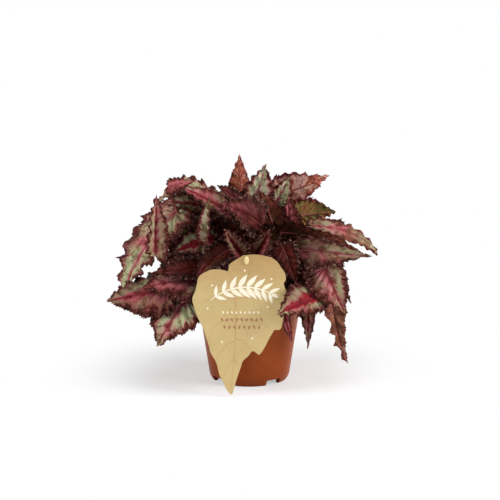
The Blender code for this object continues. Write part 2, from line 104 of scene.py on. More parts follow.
# Label and its stake
LABEL_THICK = 0.8
LABEL_AT = (-3, -80, 149)
LABEL_BOW = 1.6       # how far the card's sides stand back from its middle
HOLE_SIZE = (4.6, 7.8)
PEG_SIZE = (3.8, 7.0)
PEG_HEAD = (5.0, 8.6)
PEG_HEAD_THICK = 1.2
PEG_SIDES = 40
STAKE_WIDTH = 8
STAKE_THICK = 1.6
STAKE_DEPTH = 26
STAKE_Y = -47          # in the soil, from where it leans forward to the label
PRINT_THICK = 0.08
CARD_CELL = 4         # the card is meshed in cells this wide, so that it can bow
LABEL_OUTLINE = (
    (-16, -146), (-13, -138), (-11, -130), (-8, -121), (-6, -115), (-4, -109), (2, -103), (6, -98),
    (10, -100), (13, -102), (16, -99), (20, -92), (23, -86), (28, -77), (30, -75), (34.5, -75),
    (37, -71), (38, -66), (39, -60), (40, -53), (43, -46), (44, -39), (43, -35), (40, -30),
    (39, -25), (41, -21), (41, -18), (39.5, -13), (36, -8), (32, -2), (26, 2.5), (21, 4), (14, 5.5),
    (7, 6), (0, 5.5), (-5, 4), (-10, 1), (-15, -2), (-18, -5), (-19.5, -11.5), (-23, -11),
    (-28, -10), (-34, -10), (-39, -11), (-43, -13), (-48, -16), (-51, -20), (-52, -25), (-53, -30),
    (-54, -34), (-56, -38), (-57, -42), (-56.5, -46), (-55, -52), (-53.5, -57), (-51, -63),
    (-48, -69), (-46, -73), (-44, -79), (-42, -86), (-40, -92), (-38.5, -99), (-36, -104),
    (-33, -109), (-31, -115), (-29, -124), (-26, -130), (-21, -141),
)

# Stalks
STALK_R = 2.0
STALK_TIP_R = 1.15
STALK_SIDES = 10
STALK_STEPS = 20
STALK_SLOT = 2          # its place among a leaf's materials, after the two skins
SEAT_RINGS = ((5, 5.5), (10, 12.5), (16, 19), (24, 25.5))  # how many stalks, on what radius
YOUNG_SEAT_R = 16

# Blades
BLADE_THICK = 0.5
RIB_DEPTH = 0.25        # veins stand out below the blade
VEIN_SLANT = 0.75
SKEW = 0.12
SMALL_LOBE = 0.6
WIDEN = 1.1             # of the blades over the model's, whose margins are plain
LOBES = 9               # down each margin, one at the end of each side vein
TEETH = 5               # on each lobe
TOOTH = (0.0, 0.5, 1.0) # a tooth's height at its columns: it leans towards the tip
PER_LOBE = TEETH * len(TOOTH)
ROWS = np.array([0, 0.06, 0.15, 0.28, 0.43, 0.58, 0.71, 0.82, 0.91, 1.0])
MIDRIB_SAMPLES = 61
# painted shade: leaves are darkened towards this point, the shaded middle of the mound
SHADED_HEART_AT = (8, -30, 148)    # the dark middle of the mound

# Height of a blade's relief, and how far its margin stands out, on a leaf 48 mm wide
LOBE_REACH = 1.8
TOOTH_REACH = 1.5
TOOTH_LEAN = 0.9
MARGIN_DRAW = 0.5       # how far the margin is drawn in, so that its teeth end near the outline
PUFF = 1.5
RUFFLE = 2.2
SLOW_RUFFLE = 1.8
TOOTH_FLICK = 1.3
GROOVE = 0.35

# Half of the blade's outline: along the midrib in blade lengths, across it in half widths. It starts
# at the notch where the stalk joins, rounds the basal lobe and runs out to the drawn-out tip.
OUTLINE = (
    (-0.03, 0.04), (-0.09, 0.16), (-0.14, 0.4), (-0.11, 0.72), (-0.01, 0.94), (0.13, 1),
    (0.29, 0.97), (0.46, 0.84), (0.62, 0.61), (0.76, 0.36), (0.88, 0.15), (1, 0),
)

# One leaf. joint is where the stalk meets the blade and tip is the blade's far end; bow is how far the
# midrib stands off the straight line between them at one and two thirds, towards face, the direction
# in which the upper side looks; width is across the blade; fold and curl are the slopes of the two
# halves at the midrib and what they gain by the margin, in degrees. look says, in hundredths, how dark
# it is, partly its own colour and partly painted shade for leaves deep in the mound, how green the band
# between its veins, how red its middle, and how rusty, rather than olive, its underside.
Leaf = namedtuple("Leaf", "joint tip bow face width fold curl look")

LEAVES = [Leaf(*row) for row in (
    # Left, from the lowest outwards
    ((-88, -62, 117), (-150, -78, 105), (-1, -6), (-1, -7, 7), 61, -16, -18, (42, 55, 50, 60)),
    ((-67, -57, 102), (-98, -78, 55), (8, 6), (-22, -93, 25), 55, 8, -14, (0, 68, 25, 50)),
    ((-80, -10, 187), (-138, -29, 86), (15, 20), (-14, -12, 9), 60, 8, -16, (6, 75, 20, 50)),
    ((-44, -40, 120), (-113, -70, 117), (9, 7), (-5, -85, 52), 62, 6, -10, (30, 40, 0, 40)),
    ((-100, -57, 152), (-98, -52, 214), (-4, 0), (2, -6, 1), 26, 30, 10, (10, 50, 40, 70)),
    ((-39, -21, 159), (-84, -39, 147), (6, 5), (0, -4, 3), 33, 10, -20, (0, 60, 100, 50)),
    ((-50, 14, 153), (-98, 12, 157), (4, 6), (2, 17, 10), 44, 12, -10, (8, 40, 50, 25)),
    ((-46, 2, 191), (-95, -8, 198), (4, 4), (-1, -15, 13), 31, 10, -10, (15, 55, 40, 40)),
    ((-29, 0, 196), (-99, -20, 200), (0, 50), (-1, -6, 8), 44, 4, -20, (5, 60, 35, 80)),
    ((-23, -22, 188), (-78, -36, 221), (5, 4), (-2, -4, 5), 26, 16, -20, (10, 25, 60, 50)),
    ((-46, -50, 165), (-42, -52, 212), (-2, 0), (-4, -3, 0), 24, 42, -10, (0, 140, 0, 30)),
    # Crown of the mound
    ((12, -30, 177), (-31, -62, 206), (7, 6), (-1, -8, 6), 44, 10, -14, (35, 10, 50, 60)),
    ((-9, 20, 179), (-11, 24, 247), (5, 2), (0, 10, 1), 27, 14, -14, (5, 40, 60, 85)),
    ((-11, -7, 197), (-35, -14, 218), (2, 2), (-1, -3, 4), 18, 10, 0, (60, 20, 50, 60)),
    ((2, 4, 184), (18, 2, 239), (2, 0), (0, -10, 3), 37, 14, 6, (0, 160, 0, 50)),
    ((30, 26, 197), (88, 16, 224), (7, -6), (-10, 97, 22), 36, 8, -12, (0, 50, 50, 100)),
    ((31, -12, 158), (11, -18, 213), (6, 2), (0, 9, 4), 40, 10, -14, (20, 20, 50, 80)),
    ((-10, -63, 152), (-27, -68, 180), (-3, -1), (1, -9, 4), 24, 40, 0, (5, 50, 90, 80)),
    ((8, -63, 151), (22, -68, 180), (-3, -1), (-1, -9, 4), 24, 40, 0, (5, 45, 90, 80)),
    ((-22, -52, 155), (-57, -70, 126), (7, 6), (-2, -7, 7), 30, 10, -14, (60, 10, 40, 50)),
    # Right, from the top downwards
    ((54, 28, 176), (97, 34, 180), (5, 2), (0, 25, 3), 31, 10, -12, (0, 40, 50, 35)),
    ((43, 6, 164), (42, 2, 202), (3, 1), (2, -9, 4), 24, 12, -10, (0, 0, 30, 80)),
    ((69, 2, 170), (142, 12, 136), (17, 20), (4, -12, 15), 26, 8, -20, (5, 70, 15, 97)),
    ((51, -16, 167), (122, -22, 145), (6, 4), (1, 6, 8), 20, 10, -10, (15, 35, 20, 60)),
    ((22, -32, 169), (81, -32, 161), (6, 5), (0, 4, 5), 34, 10, -12, (35, 15, 40, 60)),
    ((43, -37, 151), (128, -78, 153), (7, -3), (1, -8, 6), 37, 8, -16, (34, 40, 5, 60)),
    ((35, -57, 158), (49, -63, 122), (5, 4), (2, -9, 4), 30, 10, -12, (60, 15, 50, 50)),
    ((81, -25, 128), (105, -72, 35), (3, -14), (5, -8, 2), 31, 30, -20, (10, 32, 5, 100)),
    ((71, -62, 106), (28, -108, 97), (4, 2), (3, -16, 12), 38, 8, -14, (12, 55, 100, 60)),
    ((63, -28, 103), (63, -45, 43), (4, 2), (2, -9, 1), 18, 20, 0, (20, 40, 30, 15)),
    ((34, -70, 104), (45, -82, 61), (3, 2), (-3, -9, 2), 12, 14, -6, (40, 10, 60, 60)),
    # Inside the mound, seen between the others
    ((0, -42, 148), (-23, -42, 186), (3, 2), (-2, -19, 6), 30, 12, -10, (60, 20, 50, 50)),
    ((48, 5, 137), (80, 0, 117), (6, 4), (4, -16, 11), 30, 8, -14, (60, 20, 50, 50)),
    # Low in front, behind the label
    ((-26, -60, 124), (-31, -72, 80), (4, 3), (-2, -19, 4), 30, 10, -10, (60, 20, 60, 50)),
    ((20, -58, 124), (10, -73, 82), (4, 3), (2, -19, 4), 28, 10, -10, (60, 20, 60, 50)),
    # Back, low and spreading
    ((72, 32, 152), (149, 92, 118), (12, 14), (3, 2, 9), 44, 8, -18, (10, 65, 40, 60)),
    ((52, 66, 143), (92, 109, 86), (12, 14), (9, 10, 15), 42, 8, -18, (15, 50, 70, 60)),
    ((13, 72, 150), (36, 110, 84), (12, 12), (1, 4, 3), 38, 8, -18, (5, 75, 25, 50)),
    ((-21, 72, 150), (-40, 108, 90), (12, 12), (-1, 4, 3), 37, 8, -18, (20, 45, 80, 60)),
    ((-55, 57, 148), (-102, 97, 87), (12, 14), (-5, 5, 7), 44, 8, -18, (10, 60, 40, 50)),
    ((-76, 47, 161), (-138, 76, 138), (10, 12), (-3, 2, 9), 40, 8, -18, (5, 80, 30, 60)),
    ((-62, 48, 108), (-118, 72, 66), (8, 8), (-5, 4, 7), 44, 8, -18, (25, 40, 70, 40)),
    ((67, 48, 116), (118, 76, 65), (8, 8), (5, 4, 7), 42, 8, -18, (25, 50, 40, 40)),
    # Back, between
    ((62, 55, 162), (116, 94, 146), (11, 12), (7, 6, 17), 36, 8, -18, (15, 55, 60, 60)),
    ((27, 61, 165), (65, 107, 138), (12, 12), (3, 5, 8), 37, 8, -18, (5, 70, 20, 60)),
    ((-3, 63, 166), (-2, 109, 138), (12, 12), (0, 3, 4), 34, 8, -18, (20, 45, 80, 60)),
    ((-32, 56, 166), (-70, 104, 138), (12, 12), (-3, 5, 8), 42, 8, -18, (10, 60, 40, 60)),
    ((73, 18, 135), (108, 38, 84), (9, 8), (6, 1, 7), 38, 8, -18, (30, 35, 60, 40)),
    # Back, high
    ((32, 44, 180), (84, 76, 177), (12, 10), (2, 6, 19), 40, 8, -18, (5, 70, 50, 80)),
    ((17, 46, 184), (42, 100, 180), (12, 12), (1, 4, 9), 38, 8, -18, (15, 50, 70, 70)),
    ((-18, 44, 184), (-46, 98, 180), (12, 12), (-1, 4, 9), 40, 8, -18, (5, 75, 25, 70)),
    ((-38, 28, 180), (-96, 58, 182), (12, 10), (-4, 6, 19), 42, 8, -18, (20, 45, 70, 70)),
    # Leaves deep in the mound, dark with painted shade
    ((-48, -47, 132), (-105, -69, 132), (6, 5), (-2, -17, 10), 26, 10, -14, (95, 35, 20, 50)),
    ((-23, -2, 143), (-39, 4, 190), (4, 3), (-3, -19, 5), 26, 10, -10, (70, 20, 30, 50)),
    # Right, in front of the long hanging leaf
    ((79, -49, 134), (101, -79, 91), (3, -5), (4, -18, 7), 41, 12, -12, (12, 45, 30, 50)),
)]

# Small young leaves that fill the heart of the mound, too many and too slight for solids of their own
YOUNG_LEAVES = [Leaf(*row) for row in (
    ((-26, -40, 156), (-12, -58, 176), (3, 2), (-1, -9, 4), 20, 25, 20, (30, 50, 20, 80)),
    ((4, -40, 150), (2, -60, 172), (3, 2), (0, -2, 1), 20, 20, 16, (45, 45, 10, 60)),
    ((24, -34, 160), (8, -50, 181), (3, 2), (1, -9, 4), 20, 20, 16, (45, 40, 10, 60)),
    ((-45, 5, 165), (-84, 4, 195), (4, 3), (-1, -9, 3), 32, 10, -10, (15, 60, 10, 40)),
    ((-34, 5, 160), (-46, 0, 190), (3, 2), (-1, -9, 3), 24, 10, -10, (25, 40, 20, 40)),
    ((-66, 0, 138), (-96, -6, 161), (4, 3), (-1, -9, 3), 26, 10, -10, (20, 50, 10, 40)),
    ((-86, -34, 219), (-60, -36, 225), (3, 2), (-5, -16, 11), 17, 6, -14, (0, 5, 5, 80)),
    ((28, 10, 194), (44, 12, 223), (3, 2), (1, -10, 1), 24, 14, -6, (0, 100, 0, 50)),
    ((48, -25, 133), (70, -39, 97), (5, 4), (3, -18, 7), 36, 10, -12, (70, 15, 60, 50)),
    ((-8, 16, 160), (-12, 20, 198), (3, 2), (0, -19, 6), 28, 10, -10, (70, 20, 30, 50)),
)]


def unit(vector):
    return vector / np.linalg.norm(vector, axis=-1, keepdims=True)


def ramp_in(values, start, end):
    return np.clip((values - start) / (end - start), 0, 1)


def ring_turns(sides):
    return np.arange(sides) * math.tau / sides


def bezier(points, t):
    """Points at t on the cubic through its four control points, and the unit tangents there."""
    p0, p1, p2, p3 = (np.asarray(p, float) for p in points)
    t = np.asarray(t, float)[..., None]
    at = (1 - t) ** 3 * p0 + 3 * (1 - t) ** 2 * t * p1 + 3 * (1 - t) * t ** 2 * p2 + t ** 3 * p3
    slope = (1 - t) ** 2 * (p1 - p0) + 2 * (1 - t) * t * (p2 - p1) + t ** 2 * (p3 - p2)
    return at, unit(slope)


def catmull_rom(padded, count):
    """The smooth curve through all but the first and last of the points, count steps between two."""
    t = np.linspace(0, 1, count, endpoint=False)[:, None]
    pieces = [
        0.5 * (2 * b + (c - a) * t + (2 * a - 5 * b + 4 * c - d) * t ** 2
               + (3 * b - a - 3 * c + d) * t ** 3)
        for a, b, c, d in zip(padded, padded[1:], padded[2:], padded[3:])
    ]
    return np.vstack([*pieces, padded[-2:-1]])


def open_curve(knots, count):
    return catmull_rom(np.vstack([2 * knots[0] - knots[1], knots, 2 * knots[-1] - knots[-2]]), count)


def run_of(points):
    """How far along the line each of its points is."""
    return np.concatenate([[0], np.cumsum(np.linalg.norm(np.diff(points, axis=0), axis=1))])


def read_rows(at, run, rows):
    """Each column of the rows, which stand at the given runs, read at other runs."""
    return np.stack([np.interp(at, run, column) for column in rows.T], -1)


class Midrib:
    """The blade's centre line with a frame on it, read by arc length."""

    def __init__(self, leaf):
        joint, tip, face = (np.array(p, float) for p in (leaf.joint, leaf.tip, leaf.face))
        chord = tip - joint
        face = unit(face - chord * (face @ chord) / (chord @ chord))
        lift = [face * b for b in leaf.bow]
        controls = (joint, joint + chord / 3 + lift[0], joint + chord * 2 / 3 + lift[1], tip)
        self.at, self.along = bezier(controls, np.linspace(0, 1, MIDRIB_SAMPLES))
        self.run = run_of(self.at)
        self.length = self.run[-1]
        self.up = np.zeros_like(self.at)
        middle = MIDRIB_SAMPLES // 2
        self.up[middle] = self.square(face, middle)
        for i in range(middle + 1, MIDRIB_SAMPLES):
            self.up[i] = self.square(self.up[i - 1], i)
        for i in range(middle - 1, -1, -1):
            self.up[i] = self.square(self.up[i + 1], i)

    def square(self, up, i):
        return unit(up - self.along[i] * (up @ self.along[i]))

    def read(self, s):
        """Position, tangent, up and side at arc length s, run straight on where s is below zero."""
        at, along, up = (read_rows(s, self.run, rows) for rows in (self.at, self.along, self.up))
        along, up = unit(along), unit(up)
        return at + along * np.minimum(s, 0)[..., None], along, up, np.cross(along, up)


def half_outline(length, half_width, marks):
    """Points along half of the blade's outline, at the given shares of its run."""
    fine = open_curve(np.array(OUTLINE) * (length, half_width), 12)
    run = run_of(fine)
    return read_rows(marks * run[-1], run, fine)


class Half:
    """One half of a blade: its mid-surface as a grid of margin marks by rows, and what colours it."""

    def __init__(self, leaf, midrib, side, marks, rng):
        self.marks = marks
        self.half_width = WIDEN * leaf.width / 2
        self.size = self.half_width / 24
        step = np.arange(len(marks))
        in_lobe = (step % PER_LOBE) / PER_LOBE
        self.vein_near = 1 - np.abs(2 * in_lobe - 1)
        big = np.repeat(rng.uniform(0.4, 1.5, LOBES * TEETH + 1), len(TOOTH))[:len(marks)]
        self.tooth = np.array(TOOTH)[step % len(TOOTH)] * big
        reach = np.repeat(rng.uniform(0.5, 1.4, LOBES + 1), PER_LOBE)[:len(marks)]
        self.lobe = self.vein_near * reach

        edge = half_outline(midrib.length, self.half_width, marks)
        foot = np.maximum.accumulate(np.maximum(edge[:, 0] - VEIN_SLANT * edge[:, 1], 0))
        if side < 0:
            edge[:, 0] = np.where(edge[:, 0] < 0, edge[:, 0] * SMALL_LOBE, edge[:, 0])
        edge[:, 1] *= 1 + side * SKEW
        shift = self.margin(edge)

        out = ROWS[None, :]
        blend = ramp_in(out, 0.5, 1) ** 1.5
        s = foot[:, None] * (1 - out) + edge[:, :1] * out + shift[:, :1] * blend
        across = np.maximum(edge[:, 1:] * out + shift[:, 1:] * blend, 0)
        arch = 0.04 * midrib.length * np.sin(math.pi * out)
        s = s + arch * (ramp_in(marks, 0.1, 0.4) * ramp_in(marks, 1, 0.85))[:, None]
        fold, bend = math.radians(leaf.fold), math.radians(leaf.curl or 0.01) / self.half_width
        slope = fold + bend * across
        level = (np.sin(slope) - math.sin(fold)) / bend
        rise = (math.cos(fold) - np.cos(slope)) / bend
        at, _, up, beside = midrib.read(s)
        lean = np.where(out > 0, slope, 0)[..., None]
        self.normals = up * np.cos(lean) - side * beside * np.sin(lean)
        flat = at + side * beside * level[..., None] + up * rise[..., None]
        self.points = flat + self.normals * self.relief(s, step, rng)[..., None]

        near_vein = 1 - np.abs(in_lobe - 0.5) * PER_LOBE / 1.6
        vein = np.clip(near_vein, 0, 1)[:, None] * ramp_in(out, 1.1, 0.6)
        self.vein = np.maximum(vein * ramp_in(marks, 0.02, 0.08)[:, None], np.exp(-(out / 0.045) ** 2))
        self.coords = self.stacked(out, np.clip(s / midrib.length, -0.2, 1), self.vein)
        self.shape = self.stacked(self.vein_near[:, None], side * marks[:, None] * LOBES, 0)

    def stacked(self, *layers):
        return np.stack([np.broadcast_to(layer, self.vein.shape) for layer in layers], -1).reshape(-1, 3)

    def margin(self, edge):
        """How far the lobes and their teeth carry each point of the margin outwards and tipwards."""
        ahead = unit(np.gradient(edge, axis=0) + 1e-9)
        outward = np.stack([-ahead[:, 1], ahead[:, 0]], -1)
        calm = ramp_in(self.marks, 0, 0.04) * ramp_in(self.marks, 1, 0.9)
        scale = np.clip(self.size, 0.45, 1.15) * calm
        push = scale * (LOBE_REACH * self.lobe + TOOTH_REACH * self.tooth - MARGIN_DRAW)
        lean = scale * TOOTH_LEAN * self.tooth
        return outward * push[:, None] + ahead * lean[:, None]

    def relief(self, s, step, rng):
        """Height above the plain blade: puffed between veins, grooved on them, ruffled at the margin."""
        out = ROWS[None, :]
        fade = (ramp_in(self.marks, 0, 0.06) * ramp_in(self.marks, 1, 0.95))[:, None]
        puff = PUFF * (1 - self.vein_near[:, None]) ** 0.8 * np.sin(math.pi * out) ** 0.7
        wave = np.sin(step / PER_LOBE * math.tau + rng.uniform(0, math.tau))[:, None]
        slow = np.sin(self.marks * rng.uniform(7, 11) + rng.uniform(0, 6))[:, None]
        ruffle = (RUFFLE * rng.uniform(0.7, 1.3) * wave + SLOW_RUFFLE * slow) * out ** 2.5
        flick = np.repeat(rng.normal(0, TOOTH_FLICK, LOBES * TEETH + 1), len(TOOTH))[:len(step)]
        flick = (flick * self.tooth)[:, None] * ramp_in(out, 0.7, 1)
        height = fade * self.size ** 0.7 * (puff + ruffle + flick) * (out > 0)
        return height - GROOVE * np.exp(-(out / 0.05) ** 2) * ramp_in(s, 0, 8)


def uneven_marks(rng):
    """Shares of the margin at which its teeth stand, none of them quite alike."""
    pace = np.repeat(rng.uniform(0.65, 1.35, LOBES * TEETH), len(TOOTH))
    pace *= np.repeat(rng.uniform(0.8, 1.2, LOBES), PER_LOBE)
    marks = np.concatenate([[0], np.cumsum(pace)])
    return marks / marks[-1]


def blade_skins(half, side):
    """The upper and lower skin of half a blade, each with its triangles; they meet at the margin."""
    thick = BLADE_THICK + RIB_DEPTH * half.vein
    thick[:, -1] = thick[0, :] = thick[-1, :] = 0
    ids = np.arange(thick.size).reshape(thick.shape)
    a, b, c, d = ids[:-1, :-1], ids[1:, :-1], ids[1:, 1:], ids[:-1, 1:]
    one, two = np.stack([a, b, c], -1), np.stack([a, c, d], -1)
    one[0], two[0] = np.stack([a, b, d], -1)[0], np.stack([b, c, d], -1)[0]
    corners = np.concatenate([one.reshape(-1, 3), two.reshape(-1, 3)])
    if side > 0:
        corners = corners[:, ::-1]
    under = half.points - half.normals * thick[..., None]
    return (half.points, corners), (under, corners[:, ::-1] + thick.size)


def tidy_triangles(points, triangles):
    """Weld points that coincide and leave out triangles that close up, as at the tip."""
    keys = np.round(points * 1000).astype(np.int64)
    _, first, index = np.unique(keys, axis=0, return_index=True, return_inverse=True)
    triangles = index.reshape(-1)[triangles]
    a, b, c = triangles.T
    return first, triangles, (a != b) & (b != c) & (a != c)


def around(radius, angle, height=0):
    """The point at an angle from the front about the upright axis."""
    return Vector((radius * math.sin(angle), -radius * math.cos(angle), height))


def crown_surface(x, y):
    """A point of the crown's dome above (x, y), and the dome's outward normal there."""
    height = CROWN_FOOT + CROWN_HEIGHT * (1 - (x * x + y * y) / CROWN_R ** 2)
    slope = 2 * CROWN_HEIGHT / CROWN_R ** 2
    return np.array([x, y, height]), unit(np.array([slope * x, slope * y, 1.0]))


def seats(leaves):
    """Where each leaf's stalk stands on the crown: steep leaves inside, spreading leaves outside."""
    joints = np.array([leaf.joint for leaf in leaves], float)
    climb = np.arctan2(joints[:, 2] - POT_HEIGHT, np.hypot(joints[:, 0], joints[:, 1]))
    turn = np.arctan2(joints[:, 0], -joints[:, 1])
    waiting = list(np.argsort(-climb, kind="stable"))
    found = [None] * len(leaves)
    for count, radius in SEAT_RINGS:
        ring, waiting = sorted(waiting[:count], key=lambda i: turn[i]), waiting[count:]
        steps = ring_turns(len(ring))
        offsets = turn[ring] - steps
        start = math.atan2(np.sin(offsets).sum(), np.cos(offsets).sum())
        for i, step in zip(ring, steps):
            found[i] = around(radius, start + step).xy
    return found


def lofted(rings, capped=True):
    """The corners of faces from each ring to the next, and of caps on the first and last ring."""
    faces = []
    for low, high in zip(rings, rings[1:]):
        faces += zip(low, low[1:] + low[:1], high[1:] + high[:1], high)
    return faces + [rings[0][::-1], rings[-1]] if capped else faces


def stalk_tube(midrib, seat):
    """Points and faces of the stalk, which thins out under the blade as the ridge of its midrib."""
    base, away = crown_surface(*seat)
    start = base - away * 0.5
    joint, along, up = midrib.at[0], midrib.along[0], midrib.up[0]
    span = np.linalg.norm(joint - start)
    arrive = unit(0.55 * unit(joint - start) + 0.55 * along + 0.4 * up)
    controls = (start, start + away * span * 0.38, joint - arrive * span * 0.33, joint)
    t = np.linspace(0, 1, STALK_STEPS)
    at, forward = bezier(controls, t)
    radius = np.interp(t, [0, 0.08, 1], [STALK_R * 1.35, STALK_R, STALK_TIP_R])
    reach = np.linspace(0.03, 0.85, 12)
    past, past_along, past_up, _ = midrib.read(reach * midrib.length)
    at = np.vstack([at[:-1], at[-1:] - up * 0.5, past - past_up * 0.95])
    forward = np.vstack([forward[:-1], unit(arrive + along), past_along])
    radius = np.append(radius, np.linspace(0.9, 0.22, len(reach)) * STALK_TIP_R)
    turn = ring_turns(STALK_SIDES)[:, None]
    side = unit(np.cross(forward[0], [0.31, 0.92, 0.24]))
    rings = []
    for centre, ahead, r in zip(at, forward, radius):
        side = unit(side - ahead * (side @ ahead))
        rings.append(centre + r * (np.cos(turn) * side + np.sin(turn) * np.cross(ahead, side)))
    return np.vstack(rings), lofted(np.arange(len(rings) * STALK_SIDES).reshape(-1, STALK_SIDES).tolist())


def make_leaf(number, leaf, seat, materials):
    rng = np.random.default_rng(number)
    midrib = Midrib(leaf)
    marks = uneven_marks(rng)
    sheets = []
    for side in (1, -1):
        half = Half(leaf, midrib, side, marks, rng)
        offset = len(sheets) * half.vein.size
        for slot, (skin, corners) in enumerate(blade_skins(half, side)):
            slots = np.full(len(corners), slot)
            sheets.append((skin.reshape(-1, 3), half.coords, half.shape, corners + offset, slots))
    points, coords, shapes, triangles, slots = map(np.concatenate, zip(*sheets))
    first, triangles, whole = tidy_triangles(points, triangles)
    points, coords, shapes = points[first], coords[first], shapes[first]
    tube, tube_faces = stalk_tube(midrib, seat)
    faces = triangles[whole].tolist() + [[i + len(points) for i in face] for face in tube_faces]
    slots = np.append(slots[whole], np.full(len(tube_faces), STALK_SLOT))
    nothing = np.zeros_like(tube)
    young = number - len(LEAVES)
    data = bpy.data.meshes.new(f"young_leaf_{young:02d}" if young > 0 else f"leaf_{number:02d}_blade")
    data.from_pydata((np.vstack([points, tube]) * MM).tolist(), [], faces)
    data.polygons.foreach_set("material_index", slots.astype(np.int32))
    data.shade_smooth()
    set_layer(data, "leaf_coords", "FLOAT_VECTOR", "vector", np.vstack([coords, nothing]))
    set_layer(data, "leaf_shape", "FLOAT_VECTOR", "vector", np.vstack([shapes, nothing]))
    looks = np.tile(np.array(leaf.look) / 100, len(data.vertices))
    set_layer(data, "leaf_look", "FLOAT_COLOR", "color", looks)
    ends = np.empty(2 * len(data.edges), dtype=np.int32)
    data.edges.foreach_get("vertices", ends)
    on_margin = np.append(coords[:, 0] > 0.999, np.zeros(len(tube), dtype=bool))
    sharp = on_margin[ends.reshape(-1, 2)].all(axis=1)
    data.attributes.new("sharp_edge", "BOOLEAN", "EDGE").data.foreach_set("value", sharp)
    add_piece(data, materials, None if young > 0 else f"leaf_{number:02d}")


def set_layer(data, name, kind, field, values):
    layer = data.attributes.new(name, kind, "POINT")
    layer.data.foreach_set(field, values.astype(np.float32).ravel())


def add_piece(data, materials, node=None, sharp_angle=None):
    """Put a mesh in the scene as a piece, which is seen for a node of the model if one is named."""
    for material in materials:
        data.materials.append(material)
    if sharp_angle:
        data.shade_smooth()
        data.set_sharp_from_angle(angle=math.radians(sharp_angle))
    piece = bpy.data.objects.new(data.name, data)
    bpy.context.scene.collection.objects.link(piece)
    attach(piece, "root")
    if node:
        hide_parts(node)


def mesh_data(name, mesh):
    """Data in metres, made of a mesh in mm."""
    bmesh.ops.recalc_face_normals(mesh, faces=mesh.faces)
    data = bpy.data.meshes.new(name)
    mesh.to_mesh(data)
    data.transform(Matrix.Scale(MM, 4))
    mesh.free()
    return data


def cut(name, target, tools):
    """Data of a mesh with the tools taken out of it."""
    items = []
    for solid in (target, *tools):
        items.append(bpy.data.objects.new("cut_part", mesh_data("cut_part", solid)))
        bpy.context.scene.collection.objects.link(items[-1])
    for tool in items[1:]:
        step = items[0].modifiers.new("cut", "BOOLEAN")
        step.operation, step.solver, step.object = "DIFFERENCE", "EXACT", tool
    bpy.context.view_layer.update()
    shaped = items[0].evaluated_get(bpy.context.evaluated_depsgraph_get())
    data = bpy.data.meshes.new_from_object(shaped)
    data.name = name
    data.materials.clear()
    for item in items:
        bpy.data.objects.remove(item, do_unlink=True)
    return data


def loft(mesh, rings):
    """Add a solid to a mesh, from each ring of places to the next."""
    for corners in lofted([[mesh.verts.new(place) for place in ring] for ring in rings]):
        mesh.faces.new(corners)


def revolved(profile, sides):
    """A closed solid of revolution from (radius, height) points, which may start or end on the axis."""
    mesh = bmesh.new()
    columns = []
    for radius, height in profile:
        if radius == 0:
            columns.append([mesh.verts.new((0, 0, height))] * sides)
        else:
            columns.append([mesh.verts.new(around(radius, a, height)) for a in ring_turns(sides)])
    for corners in lofted(columns + columns[:1], capped=False):
        corners = list(dict.fromkeys(corners))
        if len(corners) > 2:
            mesh.faces.new(corners)
    return mesh


def block(size, centre, turn):
    mesh = bmesh.new()
    place = Matrix.LocRotScale(centre, Euler((0, 0, turn)), Vector(size))
    bmesh.ops.create_cube(mesh, size=1, matrix=place)
    return mesh


def make_pot(material):
    foot_in, rim_in, inner_base = POT_FOOT_R - FOOT_THICK, RIM_R - RIM_THICK, POT_BASE_R - POT_WALL
    profile = [
        (0, FOOT_HEIGHT), (foot_in, FOOT_HEIGHT), (foot_in, 0.3), (foot_in + 0.3, 0), (POT_FOOT_R, 0),
        (POT_FOOT_R + 0.9, 0.35), (POT_FOOT_R + 1.4, 1.2), (POT_BASE_R, 4.2),
        (POT_BASE_R + 0.7, FOOT_HEIGHT + 0.6), (POT_BASE_R + 1, FOOT_HEIGHT + 3),
        (POT_TOP_R - 0.2, SHOULDER - 1.2), (POT_TOP_R + 0.25, SHOULDER - 0.15),
        (RIM_R - 0.8, SHOULDER + 0.35), (RIM_R - 0.2, SHOULDER + 0.8), (RIM_R, SHOULDER + 1.6),
        (RIM_R, POT_HEIGHT - 1), (RIM_R - 0.2, POT_HEIGHT - 0.3), (RIM_R - 0.7, POT_HEIGHT),
        (rim_in + 0.4, POT_HEIGHT), (rim_in, POT_HEIGHT - 0.4), (rim_in, SHOULDER + 1),
        (POT_TOP_R - POT_WALL, SHOULDER - 1.4), (inner_base + 0.4, FLOOR_TOP + 3),
        (inner_base - 2.4, FLOOR_TOP), (0, FLOOR_TOP),
    ]
    tools = []
    for i in range(NOTCH_COUNT):
        turn = NOTCH_TURN + math.tau * i / NOTCH_COUNT
        # the two notches and holes at the back are in the model only
        if math.cos(turn) > 0:
            tools.append(block(NOTCH_SIZE, around(NOTCH_AT, turn), turn))
            tools.append(block(DRAIN_HOLE, around(DRAIN_HOLE_AT, turn, FLOOR_TOP), turn))
    data = cut("pot_body.001", revolved(profile, POT_SIDES), tools)
    add_piece(data, [material], "pot", 40)


def crumble(x, y):
    """Height of the uneven ground, in clods."""
    place = Vector((x / CLOD_SIZE, y / CLOD_SIZE, 3.7))
    return CLOD_HEIGHT * (noise.fractal(place, 0.9, 2.1, 5) + 0.35 * noise.noise(place * 0.35))


